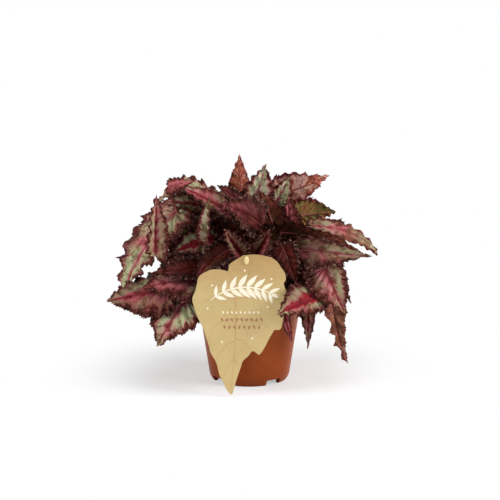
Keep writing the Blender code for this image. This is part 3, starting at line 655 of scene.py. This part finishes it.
def make_soil(material, crumb_material):
    inner_base, inner_top = POT_BASE_R - POT_WALL - FIT_GAP, POT_TOP_R - POT_WALL - FIT_GAP
    rings = np.linspace(1, 0, SOIL_RINGS)[:-1] * (inner_top - 0.2)
    profile = [
        (0, FLOOR_TOP + FIT_GAP), (inner_base - 2.6, FLOOR_TOP + FIT_GAP),
        (inner_base + 0.2, FLOOR_TOP + 3.2), *((r, SOIL_TOP) for r in rings), (0, SOIL_TOP),
    ]
    mesh = revolved(profile, SOIL_SIDES)
    for v in mesh.verts:
        if v.co.z > SOIL_TOP - FIT_GAP:
            near_wall = ramp_in(v.co.xy.length, inner_top - 0.2, inner_top - 3)
            v.co.z += crumble(v.co.x, v.co.y) * near_wall - 0.2
    add_piece(mesh_data("soil_bed", mesh), [material], "soil", 60)

    rng = np.random.default_rng(91)
    mesh = bmesh.new()
    for _ in range(CRUMBS):
        radius = math.sqrt(rng.uniform((CROWN_R / inner_top) ** 2, 0.93)) * inner_top
        x, y, _ = around(radius, rng.uniform(0, math.tau))
        made = bmesh.ops.create_icosphere(mesh, subdivisions=2, radius=1)["verts"]
        size = rng.uniform(0.6, 1.9, 3)
        centre = Vector((x, y, SOIL_TOP + crumble(x, y) + 0.2))
        seed = Vector((rng.uniform(0, 50), 0, 0))
        for v in made:
            rough = 1 + 0.45 * noise.noise(v.co * 1.6 + seed)
            v.co = centre + Vector(c * s * rough for c, s in zip(v.co, size))
    add_piece(mesh_data("soil_crumbs", mesh), [crumb_material], sharp_angle=60)


def make_rootstock(material, seat_points):
    """The knobbly stem base: a dome with a swollen scar or leaf base at every stalk."""
    rings = np.linspace(1, 0, CROWN_RINGS)[:-1] * CROWN_R
    profile = [(0, CROWN_FOOT - 0.4), *((r, CROWN_FOOT) for r in rings), (0, CROWN_FOOT)]
    mesh = revolved(profile, CROWN_SIDES)
    bases = [(Vector(point), 2.6) for point in seat_points]
    rng = np.random.default_rng(17)
    for _ in range(SCARS):
        spot = around(CROWN_R * math.sqrt(rng.uniform(0.02, 0.9)), rng.uniform(0, math.tau))
        bases.append((spot.xy, rng.uniform(1.2, 2.2)))
    for v in mesh.verts:
        if v.co.z > CROWN_FOOT - 0.2:
            surface, normal = crown_surface(*v.co.xy)
            swell = max(math.exp(-((v.co.xy - spot).length / size) ** 2) * size for spot, size in bases)
            rough = 0.5 * noise.fractal(Vector((v.co.x, v.co.y, 0)) / 4, 1.0, 2.0, 4)
            edge = ramp_in(v.co.xy.length, CROWN_R, CROWN_R - 2)
            v.co = Vector(surface + normal * (0.45 * swell + rough) * edge)
    add_piece(mesh_data("rootstock_knobs", mesh), [material], "rootstock", 60)


def oval(size, sides):
    turn = ring_turns(sides)
    return np.stack([np.cos(turn) * size[0] / 2, np.sin(turn) * size[1] / 2], -1)


def slab(mesh, outline, front, back):
    """An upright slab of the (u, v) outline, between two distances behind the card's flat middle."""
    loft(mesh, [[(u, y, v) for u, v in outline] for y in (back, front)])
    return mesh


def bow_to_card(data):
    """Set a mesh made flat about the hole on the card, whose sides and foot stand back."""
    for v in data.vertices:
        u, _, height = v.co / MM
        bow = LABEL_BOW * ((u / 50) ** 2 + 0.5 * ramp_in(-height, 90, 146) ** 2)
        v.co += (Vector(LABEL_AT) + Vector((0, bow, 0))) * MM


def make_label(material):
    half = LABEL_THICK / 2
    knots = np.array(LABEL_OUTLINE, float)
    outline = catmull_rom(np.vstack([knots[-1:], knots, knots[:2]]), 6)
    card = slab(bmesh.new(), outline, -half, half)
    low, high = outline.min(axis=0), outline.max(axis=0)
    for axis, normal in enumerate(((1, 0, 0), (0, 0, 1))):
        for place in np.arange(low[axis] + CARD_CELL / 2, high[axis], CARD_CELL):
            geometry = card.verts[:] + card.edges[:] + card.faces[:]
            at = Vector(normal) * place
            bmesh.ops.bisect_plane(card, geom=geometry, dist=0.001, plane_co=at, plane_no=normal)
    hole = slab(bmesh.new(), oval(HOLE_SIZE, 32), -5 * half, 5 * half)
    data = cut("label_card.001", card, [hole])
    bow_to_card(data)
    add_piece(data, [material], "label", 40)


def ribbon(mesh, path, widths, front):
    """A printed stroke: a thin closed strip on the card along (u, v) points."""
    ahead = unit(np.gradient(path, axis=0))
    side = np.stack([-ahead[:, 1], ahead[:, 0]], -1) * widths[:, None] / 2
    back = front + PRINT_THICK
    loft(mesh, [
        [(left[0], front, left[1]), (right[0], front, right[1]),
         (right[0], back, right[1]), (left[0], back, left[1])]
        for left, right in zip(path + side, path - side)
    ])


def curve(*points, count=24):
    return bezier(points, np.linspace(0, 1, count))[0]


def leaf_mark(mesh, base, angle, length, width, front):
    """A printed leaf: a pointed oval stroke from its base, along an angle from +X."""
    share = np.linspace(0, 1, 13)
    path = base + np.array([math.cos(angle), math.sin(angle)]) * (share * length)[:, None]
    ribbon(mesh, path, width * (0.04 + np.sin(math.pi * share ** 0.8) ** 1.1), front)


def mark_row(mesh, centre, count, pitch, size, front):
    """A row of short leaning strokes, turned to and fro."""
    for k in range(count):
        tilt = 1.15 if k % 2 else -1.15
        left = centre[0] + pitch * (k - count / 2) + 0.3 * pitch
        leaf_mark(mesh, (left, centre[1] - size / 2 * math.sin(tilt)), tilt, size, 0.45 * size, front)


def print_piece(name, mesh, material):
    data = mesh_data(name, mesh)
    bow_to_card(data)
    add_piece(data, [material], sharp_angle=50)


def make_print(pale, brown, tan):
    """A plain design of our own on the card: leaf veins, a sprig, rows of small marks, and dots."""
    front = -LABEL_THICK / 2 - 0.6 * PRINT_THICK
    veins = bmesh.new()
    midrib = curve((-17, -12), (-6, -50), (-14, -100), (-16, -138), count=60)
    ribbon(veins, midrib, np.linspace(1.1, 0.5, 60), front)
    for start, reach, height, bend in (
        (6, 40, -8, 5), (6, -30, -7, 4), (14, 46, -22, 6), (14, -38, -23, 6), (24, 37, -29, 6),
        (24, -30, -30, 5), (34, 15, -17, 3), (35, -19, -28, 4), (44, 4, -8, 1), (45, -10, -21, 3),
    ):
        base = midrib[start]
        end = base + (reach, height + abs(reach) * 0.45)
        lift = base + (reach * 0.45, height * 0.2 + bend)
        vein = curve(base, (base + lift) / 2, lift + (reach * 0.2, 0), end)
        ribbon(veins, vein, np.linspace(0.85, 0.40, 24), front)
    print_piece("label_veins", veins, tan)

    front -= 0.6 * PRINT_THICK
    sprig = bmesh.new()
    stem = curve((-38, -43), (-18, -26), (6, -25), (26, -36), count=49)
    ribbon(sprig, stem, 1.7 * (0.25 + 0.75 * np.sin(np.linspace(0, math.pi, 49)) ** 0.7), front)
    heading = np.arctan2(*np.gradient(stem, axis=0).T[::-1])
    for k in range(4, 47, 6):
        size = 1 - 0.35 * abs(k - 25) / 24
        for turn in (0.85, -0.85):
            leaf_mark(sprig, stem[k], heading[k] + turn, 18 * size, 5.4 * size, front)
    leaf_mark(sprig, stem[-1], heading[-1], 9, 3.6, front)
    mark_row(sprig, (-6, -56), 9, 4.6, 3.4, front)
    for place in ((-36, -27), (-2, -11), (26, -20), (22, -50), (-41, -52), (-26, -88), (6, -84)):
        slab(sprig, oval((2, 2), 14) + place, front, front + PRINT_THICK)
    print_piece("label_sprig", sprig, pale)

    row = bmesh.new()
    mark_row(row, (-5, -64), 9, 5.2, 4.6, front)
    mark_row(row, (-5, -72), 8, 5.2, 4.6, front)
    print_piece("label_marks", row, brown)


def make_stake(material):
    x, y, z = LABEL_AT
    path = open_curve(np.array([
        (x, STAKE_Y, SOIL_TOP - STAKE_DEPTH), (x, STAKE_Y, SOIL_TOP + 14), (x, -58, SOIL_TOP + 30),
        (x, y + 8, z - 8), (x, y + 4, z + 4),
    ]), 10)
    round_r = STAKE_THICK / 2
    turn = ring_turns(16) + math.tau / 32
    flat = np.sign(np.cos(turn)) * (STAKE_WIDTH / 2 - round_r)
    across, through = flat + np.cos(turn) * round_r, np.sin(turn) * round_r
    out = np.cross(unit(np.gradient(path, axis=0)), [1, 0, 0])
    mesh = bmesh.new()
    loft(mesh, [
        [at + np.array([w, 0, 0]) + normal * t for w, t in zip(across, through)]
        for at, normal in zip(path, out)
    ])
    add_piece(mesh_data("stake_strip", mesh), [material], "label_stake", 50)

    # the peg that holds the card: a shank through its hole and a rounded head on its front
    front = -LABEL_THICK / 2 - FIT_GAP
    steps = (
        (PEG_SIZE, 1, 6), (PEG_SIZE, 1, front), (PEG_HEAD, 0.94, front), (PEG_HEAD, 1, front - 0.3),
        (PEG_HEAD, 0.97, front - 0.7 * PEG_HEAD_THICK), (PEG_HEAD, 0.85, front - 0.92 * PEG_HEAD_THICK),
        (PEG_HEAD, 0.5, front - PEG_HEAD_THICK),
    )
    mesh = bmesh.new()
    loft(mesh, [
        [(x + u * share, y + depth, z + v * share) for u, v in oval(size, PEG_SIDES)]
        for size, share, depth in steps
    ])
    add_piece(mesh_data("stake_peg", mesh), [material], sharp_angle=50)


class Nodes:
    """The node tree of a material or the world, and short ways to wire it."""

    def __init__(self, owner, **surface):
        owner.use_nodes = True
        self.owner = owner
        self.tree = owner.node_tree
        self.shader = self.tree.nodes.get("Principled BSDF")
        for words, value in surface.items():
            socket = words.replace("_", " ").title().replace("Ior", "IOR")
            self.shader.inputs[socket].default_value = value

    def node(self, kind, sockets=(), **settings):
        made = self.tree.nodes.new("ShaderNode" + kind)
        for setting, value in settings.items():
            setattr(made, setting, value)
        for socket, value in dict(sockets).items():
            self.feed(made.inputs[socket], value)
        return made

    def feed(self, socket, value):
        if isinstance(value, bpy.types.NodeSocket):
            self.tree.links.new(value, socket)
        else:
            socket.default_value = value

    def math(self, operation, *values, clamp=False):
        sockets = dict(enumerate(values))
        return self.node("Math", sockets, operation=operation, use_clamp=clamp).outputs[0]

    def times(self, one, two, clamp=False):
        return self.math("MULTIPLY", one, two, clamp=clamp)

    def scaled(self, value, factor, shift=0.0):
        return self.math("MULTIPLY_ADD", value, factor, shift)

    def weighted(self, *pairs, base=0.0):
        """The base and the values together, each value times its weight."""
        for value, weight in pairs:
            base = self.math("MULTIPLY_ADD", value, weight, base)
        return base

    def mapped(self, value, start, end, first, last, kind="LINEAR"):
        sockets = dict(enumerate((value, start, end, first, last)))
        return self.node("MapRange", sockets, interpolation_type=kind).outputs[0]

    def blend(self, factor, one, two, mode="MIX"):
        sockets = {0: factor, 6: one, 7: two}
        return self.node("Mix", sockets, data_type="RGBA", blend_type=mode).outputs[2]

    def ramp(self, factor, *stops):
        made = self.node("ValToRGB", {0: factor})
        elements = made.color_ramp.elements
        elements[0].position, elements[1].position = stops[0][0], stops[-1][0]
        elements[0].color, elements[1].color = (*stops[0][1], 1), (*stops[-1][1], 1)
        for place, colour in stops[1:-1]:
            elements.new(place).color = (*colour, 1)
        return made.outputs[0]

    def mask(self, factor, *stops):
        """A ramp of greys."""
        return self.ramp(factor, *((place, (grey,) * 3) for place, grey in stops))

    def place(self):
        return self.node("TexCoord").outputs["Object"]

    def noise(self, scale, detail=3.0, roughness=0.55, where=None):
        sockets = {
            "Vector": where or self.place(), "Scale": scale, "Detail": detail, "Roughness": roughness,
        }
        return self.node("TexNoise", sockets).outputs[0]

    def cells(self, scale, feature="F1"):
        made = self.node("TexVoronoi", {"Vector": self.place(), "Scale": scale}, feature=feature)
        return made.outputs["Distance"]

    def split(self, vector):
        return self.node("SeparateXYZ", {0: vector}).outputs[:]

    def joined(self, *parts):
        return self.node("CombineXYZ", dict(enumerate(parts))).outputs[0]

    def attribute(self, name):
        return self.node("Attribute", attribute_name=name).outputs

    def finish(self, colour, height, distance, strength, roughness=None):
        """Wire the colour, a bump that is distance mm high, and any roughness; gives the material."""
        bump = self.node("Bump", {"Height": height, "Distance": distance * MM, "Strength": strength})
        self.feed(self.shader.inputs["Base Color"], colour)
        self.feed(self.shader.inputs["Normal"], bump.outputs[0])
        if roughness:
            self.feed(self.shader.inputs["Roughness"], roughness)
        return self.owner


def new_material(name, **surface):
    return Nodes(bpy.data.materials.new(name), **surface)


def leaf_fields(nodes):
    """The blade's own coordinates, its look, and noises at three sizes about zero."""
    out, along, vein = nodes.split(nodes.attribute("leaf_coords")["Vector"])
    near, mark, _ = nodes.split(nodes.attribute("leaf_shape")["Vector"])
    look = nodes.attribute("leaf_look")
    dark, green, red = nodes.split(look["Vector"])
    # painted shade: leaves are darkened towards the heart of the mound, where the leaves around them shade
    # it
    heart = [c * MM for c in SHADED_HEART_AT]
    away = nodes.node("VectorMath", {0: nodes.place(), 1: heart}, operation="DISTANCE").outputs[1]
    dark = nodes.math("ADD", dark, nodes.mapped(away, 0.048, 0.092, 0.58, 0))
    # streaks that run out along the side veins, unlike from leaf to leaf
    run = nodes.joined(nodes.scaled(mark, 3.1), nodes.scaled(out, 1.6), nodes.scaled(red, 7.3))
    streak = nodes.scaled(nodes.noise(1, 3, 0.6, run), 1, -0.5)
    patches = nodes.scaled(nodes.noise(70), 1, -0.5)
    mottle = nodes.scaled(nodes.noise(300), 1, -0.5)
    return SimpleNamespace(
        out=out, along=along, vein=vein, near=near, mark=mark, dark=dark, green=green, red=red,
        rust=look["Alpha"], streak=streak, patches=patches, mottle=mottle,
    )


def leaf_top_material():
    nodes = new_material("leaf_top", specular_ior_level=0.05)
    leaf = leaf_fields(nodes)
    out, green, red = leaf.out, leaf.green, leaf.red
    calm = nodes.times(nodes.scaled(red, -1, 1), nodes.scaled(out, -1, 1))
    zone = nodes.weighted(
        (out, 1), (leaf.patches, 0.34), (leaf.mottle, 0.2), (leaf.streak, 0.42), (leaf.near, -0.1),
        (calm, 0.25), base=0.04,
    )
    rosy = nodes.ramp(
        zone, (0, (0.1, 0.007, 0.01)), (0.12, (0.17, 0.012, 0.018)), (0.25, (0.36, 0.083, 0.094)),
        (0.45, (0.43, 0.122, 0.14)), (0.62, (0.25, 0.058, 0.055)), (0.76, (0.086, 0.014, 0.01)),
        (1, (0.034, 0.006, 0.004)),
    )
    sage = nodes.ramp(
        zone, (0, (0.1, 0.007, 0.01)), (0.12, (0.18, 0.014, 0.019)), (0.23, (0.38, 0.1, 0.105)),
        (0.31, (0.39, 0.21, 0.18)), (0.38, (0.34, 0.34, 0.19)), (0.66, (0.31, 0.32, 0.17)),
        (0.75, (0.32, 0.13, 0.11)), (0.82, (0.086, 0.014, 0.01)), (1, (0.034, 0.006, 0.004)),
    )
    # pale spots on both
    spots = nodes.weighted((nodes.noise(90, 3, 0.6), 1), (green, 0.12), base=-0.12)
    spots = nodes.mask(spots, (0.46, 0), (0.62, 1))
    pallor = nodes.times(spots, nodes.scaled(green, 0.9, -0.25), clamp=True)
    sage = nodes.blend(pallor, sage, (1.6, 1.48, 1.85, 1), "MULTIPLY")
    rosy = nodes.blend(nodes.scaled(spots, 0.6), rosy, (1.4, 1.8, 2, 1), "MULTIPLY")
    # green comes and goes over the blade, and its two halves are not alike
    half = nodes.noise(1, 1, 0.5, nodes.joined(nodes.scaled(leaf.mark, 0.25), nodes.scaled(red, 9)))
    uneven = nodes.weighted((green, 1.8), (nodes.noise(34, 2), 3.2), base=-2)
    greenness = nodes.math("ADD", uneven, nodes.scaled(half, 2.8, -1.4), clamp=True)
    colour = nodes.blend(greenness, rosy, sage)
    core = nodes.mask(nodes.weighted((zone, 1), (red, -0.15)), (0.09, 1), (0.35, 0))
    colour = nodes.blend(nodes.times(core, red), colour, (0.25, 0.01, 0.021, 1))
    blotch = nodes.mask(nodes.noise(150, 3, 0.6), (0.5, 0), (0.62, 1))
    colour = nodes.blend(nodes.scaled(blotch, 0.92), colour, (0.44, 0.34, 0.25, 1), "MULTIPLY")
    # a blade with a wholly rusty underside is painted brown between its middle and its tip: partly the brown
    # of the underside where the blade twists, partly painted shade
    reach = nodes.weighted((leaf.along, 1), (leaf.patches, 0.3))
    outer = nodes.mask(reach, (0.33, 0), (0.42, 1), (0.8, 1), (0.9, 0.2))
    brown_and_shade = nodes.times(outer, nodes.scaled(leaf.rust, 8, -7.2), clamp=True)
    brown = nodes.ramp(
        nodes.weighted((leaf.mottle, 1), (leaf.streak, 1), base=0.5),
        (0.36, (0.06, 0.015, 0.01)), (0.5, (0.115, 0.036, 0.018)), (0.66, (0.23, 0.085, 0.045)),
    )
    colour = nodes.blend(nodes.scaled(brown_and_shade, 1.1), colour, brown)
    # fine pale speckles, and the veins
    speck = nodes.math("LESS_THAN", nodes.cells(620), nodes.scaled(nodes.noise(200), 0.34))
    pale = nodes.times(speck, nodes.mask(out, (0.55, 0.4), (0.9, 0)))
    colour = nodes.blend(pale, colour, (0.5, 0.32, 0.28, 1))
    veined = nodes.times(leaf.vein, nodes.scaled(out, -0.4, 0.6))
    colour = nodes.blend(veined, colour, (0.1, 0.012, 0.015, 1))
    # darkened by the leaf's own dark colour, by random patches, and by painted shade in the heart of the
    # mound
    darkness_and_shade = nodes.math("ADD", leaf.dark, nodes.scaled(leaf.patches, 0.6), clamp=True)
    colour = nodes.blend(darkness_and_shade, colour, (0.135, 0.062, 0.034, 1), "MULTIPLY")
    # the frill of the dark leaves is flecked with pink: partly the frill's own colour, partly painted
    # highlight where its edges catch the light
    fleck = nodes.mask(nodes.noise(520, 3, 0.6), (0.52, 0), (0.6, 1))
    frill_flecks_and_highlight = nodes.times(fleck, nodes.mask(out, (0.7, 0), (0.95, 1)))
    frill_flecks_and_highlight = nodes.times(frill_flecks_and_highlight, nodes.scaled(darkness_and_shade, 0.5, 0.25))
    colour = nodes.blend(frill_flecks_and_highlight, colour, (0.36, 0.16, 0.13, 1))
    pebbles = nodes.weighted((nodes.cells(380, "SMOOTH_F1"), -1), (nodes.noise(900, 2), 0.35), base=1)
    return nodes.finish(colour, pebbles, 0.8, 0.75, nodes.scaled(nodes.noise(300), 0.25, 0.36))


def leaf_under_material():
    nodes = new_material("leaf_underside", roughness=0.6, specular_ior_level=0.07)
    leaf = leaf_fields(nodes)
    # rusty undersides run up to pale pink-orange: partly their own colour, partly painted glow of light
    # shining through the blade
    warm = nodes.weighted((leaf.rust, 0.9), (leaf.patches, 1.2), (leaf.mottle, 0.5), (leaf.streak, 0.8))
    ground = nodes.ramp(
        warm, (0, (0.13, 0.12, 0.03)), (0.35, (0.21, 0.15, 0.045)), (0.6, (0.26, 0.075, 0.035)),
        (0.8, (0.48, 0.125, 0.075)), (0.92, (0.76, 0.33, 0.24)), (1, (0.84, 0.5, 0.41)),
    )
    zone = nodes.weighted((leaf.out, 1), (leaf.patches, 0.25), (leaf.mottle, 0.3))
    colour = nodes.blend(nodes.mask(zone, (0.76, 0), (0.94, 1)), ground, (0.14, 0.015, 0.025, 1))
    flecks = nodes.mask(nodes.noise(330, 4, 0.65), (0.42, 0), (0.62, 1))
    colour = nodes.blend(nodes.scaled(flecks, 0.4), colour, (0.45, 0.32, 0.3, 1), "MULTIPLY")
    net = nodes.mask(nodes.cells(230, "DISTANCE_TO_EDGE"), (0, 1), (0.09, 0))
    lines = nodes.math("MAXIMUM", nodes.scaled(net, 0.35), nodes.scaled(leaf.vein, 0.8))
    colour = nodes.blend(lines, colour, (0.14, 0.018, 0.016, 1))
    # darkened by the leaf's own dark colour, by mottling, and by painted shade in the heart of the mound
    darkness_and_shade = nodes.math("ADD", leaf.dark, nodes.scaled(leaf.mottle, 0.25), clamp=True)
    colour = nodes.blend(darkness_and_shade, colour, (0.1, 0.06, 0.06, 1), "MULTIPLY")
    raised = nodes.weighted((net, 1), (nodes.cells(380, "SMOOTH_F1"), 0.8))
    return nodes.finish(colour, raised, 0.6, 0.7)


def stalk_material():
    nodes = new_material("leaf_stalk", roughness=0.5, specular_ior_level=0.3)
    tone = nodes.ramp(
        nodes.noise(120), (0.3, (0.1, 0.018, 0.018)), (0.55, (0.22, 0.035, 0.035)),
        (0.8, (0.26, 0.1, 0.06)),
    )
    speck = nodes.mask(nodes.cells(700), (0.1, 0.8), (0.22, 0))
    return nodes.finish(nodes.blend(speck, tone, (0.48, 0.26, 0.2, 1)), nodes.noise(500), 0.3, 0.5)


def pot_material():
    nodes = new_material("pot_plastic", specular_ior_level=0.05)
    tone = nodes.noise(28, 4)
    colour = nodes.ramp(
        tone, (0.3, (0.205, 0.04, 0.009)), (0.5, (0.227, 0.046, 0.011)), (0.72, (0.255, 0.055, 0.013))
    )
    dust = nodes.mask(nodes.noise(340, 5, 0.7), (0.62, 0), (0.8, 0.35))
    height = nodes.split(nodes.place())[2]
    # painted shade: the pot darkens towards its foot, over its lowest 22 mm
    low = nodes.mapped(height, 0, 0.022, 0.45, 0)
    colour = nodes.blend(nodes.times(dust, 0.3), colour, (0.42, 0.24, 0.15, 1))
    colour = nodes.blend(nodes.times(low, tone), colour, (0.12, 0.035, 0.018, 1))
    # faint rings from the mould, and a fine moulded grain
    rings = nodes.math("SINE", nodes.scaled(height, 2600))
    grain = nodes.weighted((rings, 0.1), (nodes.noise(1500, 2), 1))
    return nodes.finish(colour, grain, 0.1, 0.5, nodes.scaled(nodes.noise(160, 5), 0.2, 0.24))


def soil_material(name, pale_share):
    nodes = new_material(name, roughness=0.95)
    tone = nodes.ramp(
        nodes.noise(420, 5, 0.7), (0.3, (0.012, 0.008, 0.006)), (0.55, (0.04, 0.024, 0.014)),
        (0.75, (0.085, 0.05, 0.028)),
    )
    fibre = nodes.mask(nodes.cells(300), (0.05, 1), (pale_share, 0))
    colour = nodes.blend(nodes.scaled(fibre, 0.5), tone, (0.16, 0.095, 0.045, 1))
    return nodes.finish(colour, nodes.weighted((nodes.noise(700, 4), 1), (nodes.noise(240, 3), 1)), 0.9, 0.9)


def rootstock_material():
    nodes = new_material("rootstock", roughness=0.7)
    tone = nodes.ramp(
        nodes.noise(260, 5), (0.32, (0.05, 0.018, 0.012)), (0.5, (0.14, 0.045, 0.028)),
        (0.7, (0.24, 0.11, 0.055)),
    )
    scale = nodes.mask(nodes.cells(320, "DISTANCE_TO_EDGE"), (0, 1), (0.14, 0))
    colour = nodes.blend(nodes.scaled(scale, 0.6), tone, (0.03, 0.012, 0.008, 1))
    return nodes.finish(colour, nodes.weighted((scale, -1), (nodes.noise(600, 3), 1)), 0.6, 0.8)


def card_material():
    nodes = new_material("label_card", roughness=0.78, sheen_weight=0.05)
    x, y, z = nodes.split(nodes.place())
    stretched = nodes.joined(nodes.scaled(x, 0.22), y, z)
    fibre = nodes.noise(1400, 4, 0.65, stretched)
    colour = nodes.ramp(
        nodes.weighted((fibre, 0.55), (nodes.noise(55, 3), 0.45)),
        (0.32, (0.468, 0.33, 0.138)), (0.5, (0.528, 0.386, 0.168)), (0.68, (0.58, 0.435, 0.201)),
    )
    # painted shade: the card darkens towards its top, which stands under the leaves
    high = nodes.mapped(z, 0.112, 0.153, 0, 0.95)
    colour = nodes.blend(high, colour, (0.74, 0.62, 0.5, 1), "MULTIPLY")
    fleck = nodes.mask(nodes.noise(850, 2, 0.5, stretched), (0.66, 0), (0.74, 1))
    colour = nodes.blend(nodes.scaled(fleck, 0.22), colour, (0.33, 0.2, 0.085, 1))
    return nodes.finish(colour, fibre, 0.12, 0.5)


def ink_material(name, colour, spread):
    """Ink on card: a little uneven, with the card's fibre showing through."""
    nodes = new_material(name, roughness=0.7)
    lighter = [min(c * (1 + spread), 1) for c in colour]
    tone = nodes.ramp(nodes.noise(900, 4), (0.35, colour), (0.65, lighter))
    return nodes.finish(tone, nodes.noise(1400, 4), 0.08, 0.4)


def stake_material():
    nodes = new_material("stake_plastic", coat_weight=0.1, coat_roughness=0.3)
    tone = nodes.ramp(nodes.noise(90, 3), (0.35, (0.63, 0.49, 0.22)), (0.65, (0.72, 0.58, 0.29)))
    return nodes.finish(tone, nodes.noise(1200, 2), 0.08, 0.4, nodes.scaled(nodes.noise(400), 0.2, 0.38))


def seen_ray(nodes):
    """Whether a ray comes from the camera, either straight, off a gloss or through glass."""
    ray = nodes.node("LightPath").outputs
    seen = nodes.math("MAXIMUM", ray["Is Camera Ray"], ray["Is Glossy Ray"])
    return nodes.math("MAXIMUM", seen, ray["Is Transmission Ray"])


def whiten(nodes, share, shader, white):
    """Draw the given share of the surface in white, and the rest as its shader has it."""
    mixed = nodes.node("MixShader", {0: share, 1: shader.outputs[0], 2: white.outputs[0]})
    nodes.feed(nodes.tree.get_output_node("ALL").inputs["Surface"], mixed.outputs[0])


def make_stage():
    """A pale floor that fades into the white all round, so that only the plant's shadow shows."""
    size = FLOOR_SIZE
    corners = [(-size, -size, 0), (size, -size, 0), (size, size, 0), (-size, size, 0)]
    data = bpy.data.meshes.new("studio_floor")
    data.from_pydata(corners, [], [(0, 1, 2, 3)])
    floor = bpy.data.objects.new("studio_floor", data)
    bpy.context.scene.collection.objects.link(floor)
    nodes = new_material("studio_floor", base_color=(0.93, 0.93, 0.93, 1), roughness=0.9)
    x, y, _ = nodes.split(nodes.place())
    away = nodes.math("POWER", nodes.math("ADD", nodes.times(x, x), nodes.times(y, y)), 0.5)
    far = nodes.mapped(away, *FLOOR_FADE, 0.45, 1, "SMOOTHSTEP")
    whiten(nodes, nodes.times(far, seen_ray(nodes)), nodes.shader, nodes.node("Emission", {0: WHITE}))
    data.materials.append(nodes.owner)


def make_world():
    nodes = Nodes(bpy.data.worlds.new("studio"))
    bpy.context.scene.world = nodes.owner
    light = nodes.tree.nodes["Background"]
    light.inputs[0].default_value = (1.0, 0.99, 0.98, 1)
    light.inputs[1].default_value = WORLD_LIGHT
    whiten(nodes, seen_ray(nodes), light, nodes.node("Background", {0: WHITE}))


def aim(item, at, target):
    item.location = at
    item.rotation_euler = (Vector(target) - Vector(at)).to_track_quat("-Z", "Y").to_euler()
    bpy.context.scene.collection.objects.link(item)


def make_lights():
    for name, at, size, power in SOFTBOXES:
        lamp = bpy.data.lights.new(name, "AREA")
        lamp.shape, lamp.size, lamp.energy = "SQUARE", size, power
        aim(bpy.data.objects.new(name, lamp), at, LIGHT_AIM)


def make_camera():
    lens = bpy.data.cameras.new("camera")
    lens.lens, lens.sensor_width, lens.shift_x = CAMERA_LENS, 36, 0.001
    lens.clip_start, lens.clip_end = 0.05, 50
    camera = bpy.data.objects.new("camera", lens)
    aim(camera, CAMERA_AT, CAMERA_AIM)
    bpy.context.scene.camera = camera


def main():
    make_camera()
    make_world()
    make_lights()
    make_stage()
    bpy.context.scene.view_settings.view_transform = "Standard"
    make_pot(pot_material())
    make_soil(soil_material("soil", 0.12), soil_material("soil_crumbs", 0.35))
    seat_points = seats(LEAVES)
    make_rootstock(rootstock_material(), seat_points)
    make_label(card_material())
    make_print(
        ink_material("pale_ink", (0.80, 0.74, 0.58), 0.06),
        ink_material("brown_ink", (0.30, 0.13, 0.06), 0.25),
        ink_material("tan_ink", (0.42, 0.24, 0.10), 0.20),
    )
    make_stake(stake_material())
    leaf_materials = (leaf_top_material(), leaf_under_material(), stalk_material())
    seat_points += [Vector(leaf.joint).xy.normalized() * YOUNG_SEAT_R for leaf in YOUNG_LEAVES]
    for number, (leaf, seat) in enumerate(zip(LEAVES + YOUNG_LEAVES, seat_points), 1):
        make_leaf(number, leaf, seat, leaf_materials)


main()
